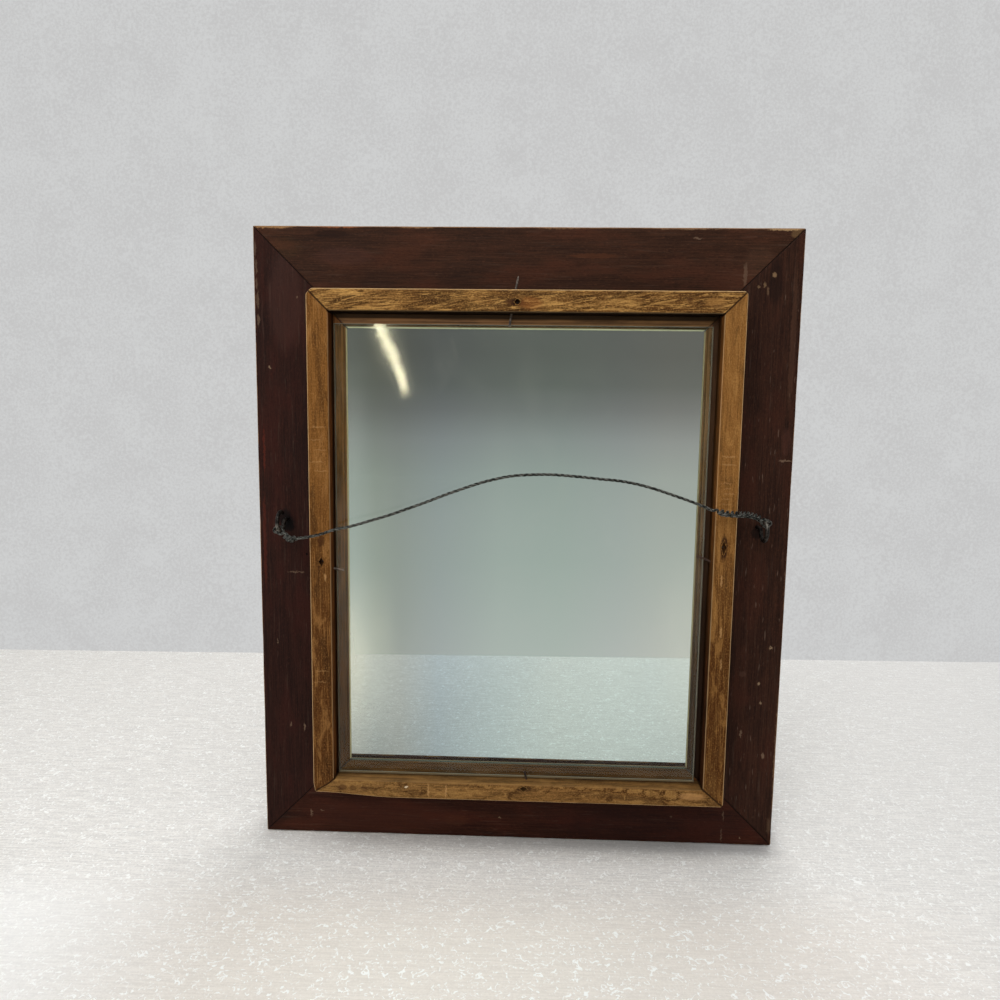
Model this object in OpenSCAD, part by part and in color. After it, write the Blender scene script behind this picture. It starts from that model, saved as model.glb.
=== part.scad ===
// Deep wooden shadow box frame, seen best from the back: four mitred walnut rails, a mitred
// box of sawn strips standing on their back, inner slips that carry the pane, and a twisted
// picture wire that swings in two screw eyes.
//
// The frame faces -Y and its back faces +Y. Left and right are as seen from the back, so left
// is +X. The origin is on the plane that bears on the wall, in the middle of the top strip.

/* [Pane] */
// Width of the glass pane
glass_w = 203.2; // [150:0.1:400]
// Height of the glass pane
glass_h = 254; // [180:0.1:500]
// Thickness of the glass pane
glass_t = 2.4; // [2:0.1:4]
// Free width left round the pane in the box
glass_play_w = 4.3; // [2:0.1:8]
// Free height left round the pane in the box
glass_play_h = 6; // [2:0.1:8]
// How far the pane has slid to the left in its box
glass_shift = 1.2; // [0:0.1:1.8]
// How far the pane has dropped in its box
glass_drop = 2.6; // [0:0.1:2.8]

/* [Box on the back] */
// Width of a strip's sawn back face
strip_w = 11.8; // [9:0.1:18]
// Width of the bottom strip's sawn back face
bottom_strip_w = 10.2; // [9:0.1:18]
// How far the strips stand out from the rails
strip_d = 26.2; // [22:0.1:40]
// Bevel along a strip's two back edges
strip_arris = 0.5; // [0.2:0.1:1.5]
// How far the box sits below the middle of the frame
box_drop = 1; // [0:0.1:1.2]

/* [Inner slips] */
// Width of the ledge that carries the pane
slip_w = 7.8; // [5:0.1:12]
// Thickness of a slip's front edge
slip_edge = 1.7; // [1:0.1:4]
// Distance of the ledge from the rails' back
slip_d = 16; // [10:0.1:18]
// Bevel on the sight edge of a slip
slip_arris = 0.8; // [0.3:0.1:1.5]

/* [Rails] */
// Width of a rail
rail_w = 51; // [45:0.1:80]
// Thickness of a rail with its bead
rail_t = 28; // [25:0.1:40]
// How far the rails reach into the box, under the slips
rail_lip = 2.25; // [2:0.05:4]
// Thickness of a rail at its inner bevel
bevel_t = 8; // [6:0.1:10]
// How far the inner bevel flares
bevel_flare = 4.3; // [3:0.1:6]
// Radius of the bead along the front's outer edge
bead_r = 6.5; // [4:0.1:7]
// Depth of the quirk between the bead and the cove
quirk_d = 5; // [3:0.1:7]
// Bevel along a rail's outer back edge
rail_arris = 0.8; // [0.3:0.1:2]
// Gap in the mitres of rails, strips and slips
mitre_gap = 0.2; // [0.1:0.05:0.3]

/* [Screw eyes] */
// Distance of the left eye from the frame's edge
left_eye_in = 17; // [12:0.5:30]
// Distance of the right eye from the frame's edge
right_eye_in = 18.5; // [12:0.5:30]
// Height of the eyes above the middle of the frame
eye_up = 14; // [0:0.5:60]
// Distance of the ring's centre from the rail
eye_out = 13; // [10:0.5:18]
// Radius of the ring, to the middle of its wire
eye_ring_r = 5.75; // [4.5:0.05:7]
// Thickness of the eye's wire
eye_wire_d = 2.2; // [1.6:0.1:3]
// Length of the screw in the rail
eye_screw_l = 11; // [8:0.5:16]

/* [Nails and brads] */
// Thickness of the nails that hold the strips
strip_nail_d = 2; // [1.5:0.1:2.6]
// Width of their heads
strip_nail_head_d = 3.4; // [2.8:0.1:4]
// How deep the heads are set below the strips' back
strip_nail_set = 2.6; // [1:0.1:5]
// How far their points reach into the rails
strip_nail_bite = 5.5; // [3:0.1:6.5]
// Thickness of the corner nails
corner_nail_d = 1.8; // [1.4:0.1:2.4]
// Length of the rails' corner nails
corner_nail_l = 32; // [24:0.5:40]
// Length of the strips' corner nails
box_nail_l = 22; // [16:0.5:26]
// How deep the corner nails are set
corner_nail_set = 1.2; // [0.5:0.1:3]
// Thickness of the brads that hold the pane
brad_d = 1.3; // [1:0.1:1.8]

/* [Picture wire] */
// Thickness of the twisted wire
wire_d = 1.6; // [1.2:0.1:1.8]
// Full turns of the twist at the left end
left_turns = 3; // [2:1:4]
// Full turns of the twist at the right end
right_turns = 6; // [4:1:7]

/* [Hidden] */
$fn = 40;

walnut = [0.20, 0.11, 0.08];
walnut_top = [0.24, 0.15, 0.10];
sawn_wood = [0.62, 0.42, 0.22];
slip_wood = [0.36, 0.25, 0.15];
pane_tint = [0.75, 0.82, 0.78, 0.35];
old_steel = [0.33, 0.31, 0.29];
wire_steel = [0.45, 0.45, 0.43];

// Clearance between a piece of wood or metal and its seat
seat_gap = 0.1;
// Clearance between a brad and the pane it holds
brad_gap = 0.15;
// A cut runs past a face by this much
past = 1;

box_in_w = glass_w + glass_play_w;
box_in_h = glass_h + glass_play_h;
box_w = box_in_w + 2 * strip_w;
box_top = box_in_h / 2 + strip_w;
box_bottom = box_in_h / 2 + bottom_strip_w;
across_ends = [-box_w / 2, box_w / 2];
frame_w = box_in_w + 2 * (rail_w - rail_lip);
frame_h = box_in_h + 2 * (rail_w - rail_lip);
strip_mid_x = box_in_w / 2 + strip_w / 2;
top_strip_z = box_in_h / 2 + strip_w / 2;
bottom_strip_z = -box_in_h / 2 - bottom_strip_w / 2;
pane_back = slip_d + glass_t;
mitre_cut = mitre_gap / 2 * sqrt(2);

// Everything is laid out from the middle of the frame on the rails' back plane, and this
// moves it to the origin on the wall.
module from_middle() {
    translate([0, -strip_d, box_drop - top_strip_z]) children();
}

// The box is nailed on a little low, with all that it holds.
module in_box() {
    translate([0, 0, -box_drop]) children();
}

// Points of an arc in a profile
function arc(middle, radii, from, to, steps) = [
    for (i = [0:steps])
        let (a = from + (to - from) * i / steps)
            [middle[0] + radii[0] * cos(a), middle[1] + radii[1] * sin(a)]
];

// Profile of a rail: across from its outer side, then front to back
bead_mid = rail_t - bead_r;
cove_front = rail_t - quirk_d;
quirk_angle = asin((cove_front - bead_mid) / bead_r);
cove_outer = 2 * bead_r + 1.2;
cove_inner = rail_w - bevel_flare - 1;
cove_steps = 12;
bead_steps = 12;
rail_profile = concat(
    [[rail_arris, 0], [rail_w, 0], [rail_w - bevel_flare, -bevel_t]],
    arc([cove_inner, -cove_front], [cove_inner - cove_outer, cove_front - bevel_t], 90, 180, cove_steps),
    arc([bead_r, -bead_mid], [bead_r, bead_r], -quirk_angle, -180, bead_steps),
    [[0, -rail_arris]]
);

// Profile of a strip, across from its outer side
function strip_profile(width) = [
    [0, 0], [width, 0], [width, strip_d - strip_arris], [width - strip_arris, strip_d],
    [strip_arris, strip_d], [0, strip_d - strip_arris]
];

// Profile of a slip, across from the box wall
slip_profile = [
    [seat_gap, 0], [slip_edge, 0], [slip_w, slip_d - slip_arris], [slip_w - slip_arris, slip_d],
    [seat_gap, slip_d]
];

// One side of a mitred frame: the profile runs along the side from one end to the other, and
// each end is cut to the corner that it makes with the side it meets, of the width given in
// next. The side's outer face is out from the middle, towards +Z.
module mitred_side(profile, width, ends, out, next) {
    low = ends[0] + mitre_cut;
    high = ends[1] - mitre_cut;
    length = ends[1] - ends[0];
    intersection() {
        rotate([90, 0, 90])
            translate([0, 0, ends[0]])
                linear_extrude(length)
                    polygon([for (p = profile) [p[1], out - p[0]]]);
        translate([0, length, 0])
            rotate([90, 0, 0])
                linear_extrude(2 * length)
                    polygon([
                        [low, out], [high, out],
                        [high - next[1], out - width], [low + next[0], out - width]
                    ]);
    }
}

// Turns a side from the top to another side of the frame
module on_side(turn) {
    rotate([0, turn, 0]) children();
}

top = 0;
left = 90;
bottom = 180;
right = 270;

module rail(turn, length, out) {
    from_middle() difference() {
        on_side(turn)
            mitred_side(rail_profile, rail_w, [-length / 2, length / 2], out, [rail_w, rail_w]);
        in_box() strip_nail_holes(turn);
        corner_nail_holes();
        if (turn == left) eye_hole(1);
        if (turn == right) eye_hole(-1);
    }
}

module box_strip(turn, width, ends, out, next) {
    from_middle() in_box() difference() {
        on_side(turn) mitred_side(strip_profile(width), width, ends, out, next);
        strip_nail_holes(turn);
        box_nail_holes();
        brad_hole(turn);
    }
}

module slip(turn, length, out) {
    from_middle() in_box() on_side(turn)
        mitred_side(slip_profile, slip_w, [-length / 2, length / 2], out, [slip_w, slip_w]);
}

// A nail driven along -Z from the origin, with a flat head and a drawn point
nail_head_t = 1;
nail_point_l = 3;
nail_tip_d = 0.5;
module nail(length, thickness, head) {
    translate([0, 0, -nail_head_t]) cylinder(h = nail_head_t, d = head);
    translate([0, 0, nail_point_l - length])
        cylinder(h = length - nail_point_l - nail_head_t / 2, d = thickness);
    translate([0, 0, -length])
        cylinder(h = nail_point_l, d1 = nail_tip_d, d2 = thickness);
}

// The hole that a nail leaves, open above its set head
module nail_hole(length, thickness, head, set) {
    translate([0, 0, -nail_head_t - seat_gap])
        cylinder(h = nail_head_t + seat_gap + set + past, d = head + 2 * seat_gap);
    translate([0, 0, -length - seat_gap])
        cylinder(h = length + seat_gap, d = thickness + 2 * seat_gap);
}

// One nail near the middle of each strip, off the middle as driven by eye
strip_nail_at = [
    [top, 3.8, top_strip_z - 0.5],
    [bottom, -3.8, bottom_strip_z + 2.5],
    [left, strip_mid_x - 0.6, -4.8],
    [right, 0.6 - strip_mid_x, 7.2]
];
strip_nail_l = strip_d - strip_nail_set + strip_nail_bite;

module at_strip_nail(spot) {
    translate([spot[1], strip_d - strip_nail_set, spot[2]]) rotate([-90, 0, 0]) children();
}

module strip_nail_holes(turn) {
    for (spot = strip_nail_at)
        if (spot[0] == turn)
            at_strip_nail(spot)
                nail_hole(strip_nail_l, strip_nail_d, strip_nail_head_d, strip_nail_set);
}

// Two nails cross each rail mitre: one driven in from the side and one from above or below
corner_nail_head_d = 2.6;
side_nail_in = 14;
side_nail_y = -7;
cap_nail_in = 18;
cap_nail_y = -14;

module at_corner_nails() {
    for (x = [-1, 1], z = [-1, 1]) {
        translate([x * (frame_w / 2 - corner_nail_set), side_nail_y, z * (frame_h / 2 - side_nail_in)])
            rotate([0, x * 90, 0]) children();
        translate([x * (frame_w / 2 - cap_nail_in), cap_nail_y, z * (frame_h / 2 - corner_nail_set)])
            rotate([0, 90 - z * 90, 0]) children();
    }
}

module corner_nail_holes() {
    at_corner_nails()
        nail_hole(corner_nail_l, corner_nail_d, corner_nail_head_d, corner_nail_set);
}

// One nail holds each corner of the box, driven through the top or bottom strip
box_nail_y = strip_d / 2 - 5;

module at_box_nails() {
    for (x = [-1, 1]) {
        translate([x * strip_mid_x, box_nail_y, box_top - corner_nail_set]) children();
        translate([x * strip_mid_x, box_nail_y, corner_nail_set - box_bottom])
            rotate([0, 180, 0]) children();
    }
}

module box_nail_holes() {
    at_box_nails() nail_hole(box_nail_l, corner_nail_d, corner_nail_head_d, corner_nail_set);
}

// Brads: the side of the box, then the inner and the outer end. They lie just behind the pane
// and pass beside the strips' nails, and the top one is long and comes out above its strip.
brad_y = pane_back + brad_gap + brad_d / 2;
brad_bite = 8.6;
brads = [
    [top, [7.9, brad_y + 0.7, box_in_h / 2 - 6.5], [3.6, brad_y - 5, box_top + 8.7]],
    [bottom, [-4.2, brad_y, 4.8 - box_in_h / 2], [-7.7, brad_y + 0.8, -box_in_h / 2 - brad_bite]],
    [left, [box_in_w / 2 - 5.6, brad_y, -10.5], [box_in_w / 2 + brad_bite, brad_y + 0.8, -8.6]],
    [right, [7.6 - box_in_w / 2, brad_y, 1.6], [-box_in_w / 2 - brad_bite, brad_y + 0.8, -5.6]]
];

// A round rod from one point to another
module rod(a, b, thickness, longer = 0) {
    way = b - a;
    reach = norm(way);
    translate(a)
        rotate([0, acos(way[2] / reach), atan2(way[1], way[0])])
            cylinder(h = reach + longer, d = thickness);
}

module brad(turn) {
    from_middle() in_box() for (b = brads) if (b[0] == turn) rod(b[1], b[2], brad_d);
}

module brad_hole(turn) {
    for (b = brads)
        if (b[0] == turn)
            rod(b[1], b[2], brad_d + 2 * seat_gap, seat_gap);
}

// The two screw eyes, with their rings across the frame so that the wire can swing
function eye_x(side) = side * (frame_w / 2 - (side > 0 ? left_eye_in : right_eye_in));
eye_point_l = 4;
eye_tip_d = 0.6;
ring_arc = 320;

module eye_hole(side) {
    translate([eye_x(side), past, eye_up])
        rotate([90, 0, 0])
            cylinder(h = eye_screw_l + past + seat_gap, d = eye_wire_d + 2 * seat_gap);
}

module screw_eye(side) {
    ring_foot = eye_out - eye_ring_r;
    from_middle() translate([eye_x(side), 0, eye_up]) {
        translate([0, eye_out, 0])
            rotate([0, 90, 0])
                rotate([0, 0, -90])
                    rotate_extrude(angle = ring_arc) translate([eye_ring_r, 0]) circle(d = eye_wire_d);
        translate([0, ring_foot, 0])
            rotate([90, 0, 0])
                cylinder(h = ring_foot + eye_screw_l - eye_point_l, d = eye_wire_d);
        translate([0, eye_point_l - eye_screw_l, 0])
            rotate([90, 0, 0])
                cylinder(h = eye_point_l, d1 = eye_wire_d, d2 = eye_tip_d);
    }
}

// The wire's free stretch, from left to right, as points from the middle of the frame
wire_route = [
    [117.5, 36, 9], [113, 37, 9.8], [106, 38, 11.6], [98, 38.6, 14.4], [90, 39, 16.2],
    [80, 39.4, 19.2], [70, 39.8, 22.4], [59, 40.2, 26.4], [48, 40.6, 30.6], [38, 41, 34.6],
    [27, 41.3, 38.6], [17, 41.5, 41.8], [5, 41.7, 44.4], [-6, 41.8, 45.3], [-17, 41.8, 45.4],
    [-29, 41.7, 44.6], [-40, 41.5, 43.6], [-51, 41.2, 42.6], [-61, 40.9, 40.8], [-71, 40.6, 38],
    [-79, 40.3, 35.4], [-86, 40, 33], [-91, 39.7, 31.2], [-95, 39.4, 29.6]
];
wire_sides = 8;

function unit(v) = v / norm(v);
function tangent(route, i) =
    unit(route[min(i + 1, len(route) - 1)] - route[max(i - 1, 0)]);

// A tube along a route: one ring of corners at each point, square to the route there, with
// the rings' corners lined up by a direction that the route never takes
function tube_corners(route, thickness, sides, aim) = [
    for (i = [0:len(route) - 1])
        let (t = tangent(route, i), u = unit(cross(t, aim)), v = cross(t, u))
            for (k = [0:sides - 1])
                let (a = 360 * k / sides)
                    route[i] + thickness / 2 * (cos(a) * u + sin(a) * v)
];

function tube_faces(count, sides) = concat(
    [for (i = [0:count - 2], k = [0:sides - 1])
        let (n = (k + 1) % sides)
            [i * sides + k, i * sides + n, (i + 1) * sides + n]],
    [for (i = [0:count - 2], k = [0:sides - 1])
        let (n = (k + 1) % sides)
            [i * sides + k, (i + 1) * sides + n, (i + 1) * sides + k]],
    [for (k = [1:sides - 2]) [0, k + 1, k]],
    [for (k = [1:sides - 2]) let (e = (count - 1) * sides) [e, e + k, e + k + 1]]
);

module tube(route, thickness, sides, aim) {
    polyhedron(
        points = tube_corners(route, thickness, sides, aim),
        faces = tube_faces(len(route), sides)
    );
}

// A tie: the wire runs on, straight at first, as one strand of a twist, round the eye's ring,
// and back as the other strand. The twist follows a bent line to the loop's neck.
loop_gap = 0.35;
twist_gap = 0.6;
loop_r = eye_wire_d / 2 + loop_gap + wire_d / 2;
twist_r = (wire_d + twist_gap) / 2;
loop_open = 125;
loop_steps = 14;
neck_l = 4.2;
steps_per_turn = 14;
tie_sides = 6;
// Share of the twist over which the first strand leaves the middle line
tie_lead = 0.16;
// Share of the twist at which the second strand ends
tie_tail = 0.12;

function bent(p, t) =
    pow(1 - t, 3) * p[0] + 3 * pow(1 - t, 2) * t * p[1] + 3 * (1 - t) * t * t * p[2] + t * t * t * p[3];
function bent_way(p, t) =
    unit(pow(1 - t, 2) * (p[1] - p[0]) + 2 * (1 - t) * t * (p[2] - p[1]) + t * t * (p[3] - p[2]));

// Where a tie sits on its ring, the ring's direction there and the way to the twist
function ring_spot(side, angle) =
    [eye_x(side), eye_out + eye_ring_r * cos(angle), eye_up + eye_ring_r * sin(angle)];
function ring_way(angle) = [0, -sin(angle), cos(angle)];
function neck_way(side, angle, lean) =
    [-side * cos(lean), sin(lean) * cos(angle), sin(lean) * sin(angle)];

function twist_point(line, aim, t, phase, r) =
    let (e = bent_way(line, t), n = unit(cross(aim, e)), b = cross(e, n))
        bent(line, t) + r * (cos(phase) * n + sin(phase) * b);

function tie_route(side, angle, lean, turns, start, start_way, reach) =
    let (
        aim = ring_way(angle),
        spot = ring_spot(side, angle),
        out = neck_way(side, angle, lean),
        n = unit(cross(aim, -out)),
        neck = spot + neck_l * out,
        from = start + wire_d * start_way,
        line = [from, from + reach[0] * start_way, neck + reach[1] * out, neck],
        steps = turns * steps_per_turn
    )
    concat(
        [start],
        [for (i = [0:steps])
            let (t = i / steps, r = twist_r * min(1, t / tie_lead))
                twist_point(line, aim, t, 360 * turns * (1 - t), r)],
        [for (i = [0:loop_steps])
            let (a = loop_open - 2 * loop_open * i / loop_steps)
                spot - loop_r * cos(a) * out + loop_r * sin(a) * n],
        [for (i = [steps:-1:ceil(steps * tie_tail)])
            let (t = i / steps, r = twist_r * (1 + 0.5 * max(0, (0.25 - t) / 0.25)))
                twist_point(line, aim, t, 360 * turns * (1 - t) + 180, r)]
    );

// Least distance between stretches of a route that are not neighbours, less its thickness
function least_gap(route, thickness, apart) = min([
    for (i = [0:len(route) - 1 - apart])
        for (j = [i + apart:len(route) - 1])
            norm(route[i] - route[j]) - thickness
]);

wire_end = len(wire_route) - 1;
left_angle = -38;
left_lean = 42;
right_angle = 50;
right_lean = 40;
left_tie_route = tie_route(
    1, left_angle, left_lean, left_turns,
    wire_route[0], unit(wire_route[0] - wire_route[1]), [6, 9]
);
right_tie_route = tie_route(
    -1, right_angle, right_lean, right_turns,
    wire_route[wire_end], unit(wire_route[wire_end] - wire_route[wire_end - 1]), [16, 14]
);
apart_steps = 8;
echo(left_tie_least_gap = least_gap(left_tie_route, wire_d, apart_steps));
echo(right_tie_least_gap = least_gap(right_tie_route, wire_d, apart_steps));

module top_rail() {
    color(walnut_top) rail(top, frame_w, frame_h / 2);
}

module bottom_rail() {
    color(walnut) rail(bottom, frame_w, frame_h / 2);
}

module left_rail() {
    color(walnut) rail(left, frame_h, frame_w / 2);
}

module right_rail() {
    color(walnut) rail(right, frame_h, frame_w / 2);
}

module top_box_strip() {
    color(sawn_wood) box_strip(top, strip_w, across_ends, box_top, [strip_w, strip_w]);
}

module bottom_box_strip() {
    color(sawn_wood) box_strip(bottom, bottom_strip_w, across_ends, box_bottom, [strip_w, strip_w]);
}

module left_box_strip() {
    color(sawn_wood)
        box_strip(left, strip_w, [-box_top, box_bottom], box_w / 2, [strip_w, bottom_strip_w]);
}

module right_box_strip() {
    color(sawn_wood)
        box_strip(right, strip_w, [-box_bottom, box_top], box_w / 2, [bottom_strip_w, strip_w]);
}

module top_slip() {
    color(slip_wood) slip(top, box_in_w, box_in_h / 2);
}

module bottom_slip() {
    color(slip_wood) slip(bottom, box_in_w, box_in_h / 2);
}

module left_slip() {
    color(slip_wood) slip(left, box_in_h, box_in_w / 2);
}

module right_slip() {
    color(slip_wood) slip(right, box_in_h, box_in_w / 2);
}

module glass_pane() {
    color(pane_tint)
        from_middle() in_box()
            translate([glass_shift - glass_w / 2, slip_d, -glass_drop - glass_h / 2])
                cube([glass_w, glass_t, glass_h]);
}

module top_brad() {
    color(old_steel) brad(top);
}

module bottom_brad() {
    color(old_steel) brad(bottom);
}

module left_brad() {
    color(old_steel) brad(left);
}

module right_brad() {
    color(old_steel) brad(right);
}

module strip_nails() {
    color(old_steel) from_middle() in_box()
        for (spot = strip_nail_at)
            at_strip_nail(spot) nail(strip_nail_l, strip_nail_d, strip_nail_head_d);
}

module rail_corner_nails() {
    color(old_steel) from_middle()
        at_corner_nails() nail(corner_nail_l, corner_nail_d, corner_nail_head_d);
}

module box_corner_nails() {
    color(old_steel) from_middle() in_box()
        at_box_nails() nail(box_nail_l, corner_nail_d, corner_nail_head_d);
}

module left_screw_eye() {
    color(old_steel) screw_eye(1);
}

module right_screw_eye() {
    color(old_steel) screw_eye(-1);
}

module picture_wire() {
    color(wire_steel) from_middle() tube(wire_route, wire_d, wire_sides, [0, 0, 1]);
}

module left_wire_tie() {
    color(wire_steel) from_middle() tube(left_tie_route, wire_d, tie_sides, ring_way(left_angle));
}

module right_wire_tie() {
    color(wire_steel) from_middle() tube(right_tie_route, wire_d, tie_sides, ring_way(right_angle));
}

top_rail();
bottom_rail();
left_rail();
right_rail();
top_box_strip();
bottom_box_strip();
left_box_strip();
right_box_strip();
top_slip();
bottom_slip();
left_slip();
right_slip();
glass_pane();
top_brad();
bottom_brad();
left_brad();
right_brad();
strip_nails();
rail_corner_nails();
box_corner_nails();
left_screw_eye();
right_screw_eye();
picture_wire();
left_wire_tie();
right_wire_tie();
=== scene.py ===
"""Dresses a deep wooden shadow box frame, seen from its back: walnut-stained rails, a box of
sawn strips, the pane, its brads and nails, two screw eyes and the twisted picture wire."""

import math

import bmesh
import bpy
from mathutils import Matrix, Vector, noise


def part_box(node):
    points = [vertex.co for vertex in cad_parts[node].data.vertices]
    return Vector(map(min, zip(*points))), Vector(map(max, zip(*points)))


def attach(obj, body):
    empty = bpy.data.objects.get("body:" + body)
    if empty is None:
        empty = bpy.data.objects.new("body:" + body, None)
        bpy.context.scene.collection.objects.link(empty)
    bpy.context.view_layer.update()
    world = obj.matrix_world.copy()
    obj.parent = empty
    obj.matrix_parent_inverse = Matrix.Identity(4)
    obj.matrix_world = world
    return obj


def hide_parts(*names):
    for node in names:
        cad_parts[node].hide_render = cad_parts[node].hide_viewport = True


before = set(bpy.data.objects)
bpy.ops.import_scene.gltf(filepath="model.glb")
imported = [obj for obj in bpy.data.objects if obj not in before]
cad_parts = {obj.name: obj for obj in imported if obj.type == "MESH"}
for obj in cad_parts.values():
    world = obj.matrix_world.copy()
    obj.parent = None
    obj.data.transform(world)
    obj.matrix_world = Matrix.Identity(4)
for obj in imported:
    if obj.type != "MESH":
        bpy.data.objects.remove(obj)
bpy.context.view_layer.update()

MM = 0.001
SIDES = {"top": 0, "left": 90, "bottom": 180, "right": 270}


def lowest(node):
    """The low corner of a node's box, in millimetres."""
    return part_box(node)[0] / MM


def highest(node):
    """The high corner of a node's box, in millimetres."""
    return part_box(node)[1] / MM


# The middle of the rails' back, in millimetres. Left is +X, as seen from the back.
MIDDLE = Vector((
    0, highest("top_rail").y, (highest("top_rail").z + lowest("bottom_rail").z) / 2
))


def placed(point):
    """A point in millimetres from the middle of the rails' back, as metres in the frame."""
    return (Vector(point) + MIDDLE) * MM


def turned(point, turn):
    """A point turned about Y, as a side of the frame is turned from the top to its own place."""
    a = math.radians(turn)
    x, y, z = point
    return Vector((x * math.cos(a) + z * math.sin(a), y, z * math.cos(a) - x * math.sin(a)))


class Span:
    """Where a side's CAD piece lies, as if its side were turned to the top: its two ends along
    the side, its outer face, its width across and its depth from front to back."""

    def __init__(self, node, turn):
        a = turned(lowest(node) - MIDDLE, -turn)
        b = turned(highest(node) - MIDDLE, -turn)
        self.low, self.high = sorted((a.x, b.x))
        self.out = max(a.z, b.z)
        self.width = abs(a.z - b.z)
        self.front, self.back = a.y, b.y

    def across_middle(self):
        return self.out - self.width / 2


SPAN = {
    (kind, side): Span(side + "_" + kind, turn)
    for side, turn in SIDES.items() for kind in ("rail", "box_strip", "slip")
}
RAIL_W = SPAN["rail", "top"].width
RAIL_T = -SPAN["rail", "top"].front
STRIP_D = SPAN["box_strip", "top"].back
SLIP_W = SPAN["slip", "top"].width
SLIP_D = SPAN["slip", "top"].back
# The side that each side meets at its low end and at its high end
NEXT = {
    "top": ("right", "left"), "left": ("top", "bottom"),
    "bottom": ("left", "right"), "right": ("bottom", "top"),
}


# The camera, fitted to the corners of the frame, the strips and the sight opening
CAMERA_PLACE = placed((-1.7, 428, 77.2))
CAMERA_AIM = placed((12.4, 0, 27))
CAMERA_ROLL = math.radians(0.75)
CAMERA_FOCUS_PIXELS = 752
IMAGE_PIXELS = 1000
SENSOR = 36


def make_camera():
    data = bpy.data.cameras.new("photo_camera")
    data.sensor_width = SENSOR
    data.lens = SENSOR * CAMERA_FOCUS_PIXELS / IMAGE_PIXELS
    data.clip_start, data.clip_end = 0.01, 50
    camera = bpy.data.objects.new("photo_camera", data)
    bpy.context.collection.objects.link(camera)
    look = (CAMERA_AIM - CAMERA_PLACE).to_track_quat("-Z", "Y").to_matrix().to_4x4()
    rolled = look @ Matrix.Rotation(CAMERA_ROLL, 4, "Z")
    camera.matrix_world = Matrix.Translation(CAMERA_PLACE) @ rolled
    bpy.context.scene.camera = camera


make_camera()


# Node maths

def written(operation, swapped=False):
    """An operator on sockets, which writes a Math node."""

    def write(one, other):
        return one.tree.maths(operation, *((other, one) if swapped else (one, other)))

    return write


class Wired:
    """A socket of a node tree, on which sums write Math nodes."""

    def __init__(self, tree, socket):
        self.tree, self.socket = tree, socket

    __add__, __radd__ = written("ADD"), written("ADD", True)
    __sub__, __rsub__ = written("SUBTRACT"), written("SUBTRACT", True)
    __mul__, __rmul__ = written("MULTIPLY"), written("MULTIPLY", True)
    __truediv__ = written("DIVIDE")


def linear(level):
    share = level / 255
    return share / 12.92 if share <= 0.04045 else ((share + 0.055) / 1.055) ** 2.4


def colour(value):
    """A colour as a socket takes it: three sRGB numbers from 0 to 255 become linear."""
    return value if isinstance(value, Wired) else (*[linear(v) for v in value], 1)


def darker(tone, share):
    """A colour with each of its numbers times a share."""
    return tuple(min(255, v * share) for v in tone)


def set_stops(ramp, stops):
    """Gives a colour ramp its stops, each a place and a colour."""
    while len(ramp.elements) < len(stops):
        ramp.elements.new(0.5)
    for element, (place, tone) in zip(ramp.elements, stops):
        element.position = place
        element.color = colour(tone)


class Wiring:
    """A node tree that is written as expressions."""

    def __init__(self, tree):
        self.tree = tree
        tree.nodes.clear()

    def node(self, kind, sockets=None, out=0, **settings):
        """Adds a node: its settings first, then the values or links of its sockets."""
        made = self.tree.nodes.new(kind if "Node" in kind else "ShaderNode" + kind)
        for key, value in settings.items():
            if key == "stops":
                set_stops(made.color_ramp, value)
            else:
                setattr(made, key, value)
        for key, value in (sockets or {}).items():
            if isinstance(value, Wired):
                self.tree.links.new(value.socket, made.inputs[key])
            else:
                made.inputs[key].default_value = value
        return Wired(self, made.outputs[out]) if made.outputs else made

    def outputs(self, kind, names, sockets=None):
        """Several outputs of one node."""
        made = self.node(kind, sockets).socket.node.outputs
        return [Wired(self, made[name]) for name in names]

    def maths(self, operation, *values):
        return self.node("Math", dict(enumerate(values)), operation=operation)

    def joined(self, x, y, z):
        """A vector of three numbers."""
        return self.node("CombineXYZ", {0: x, 1: y, 2: z})


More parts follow.
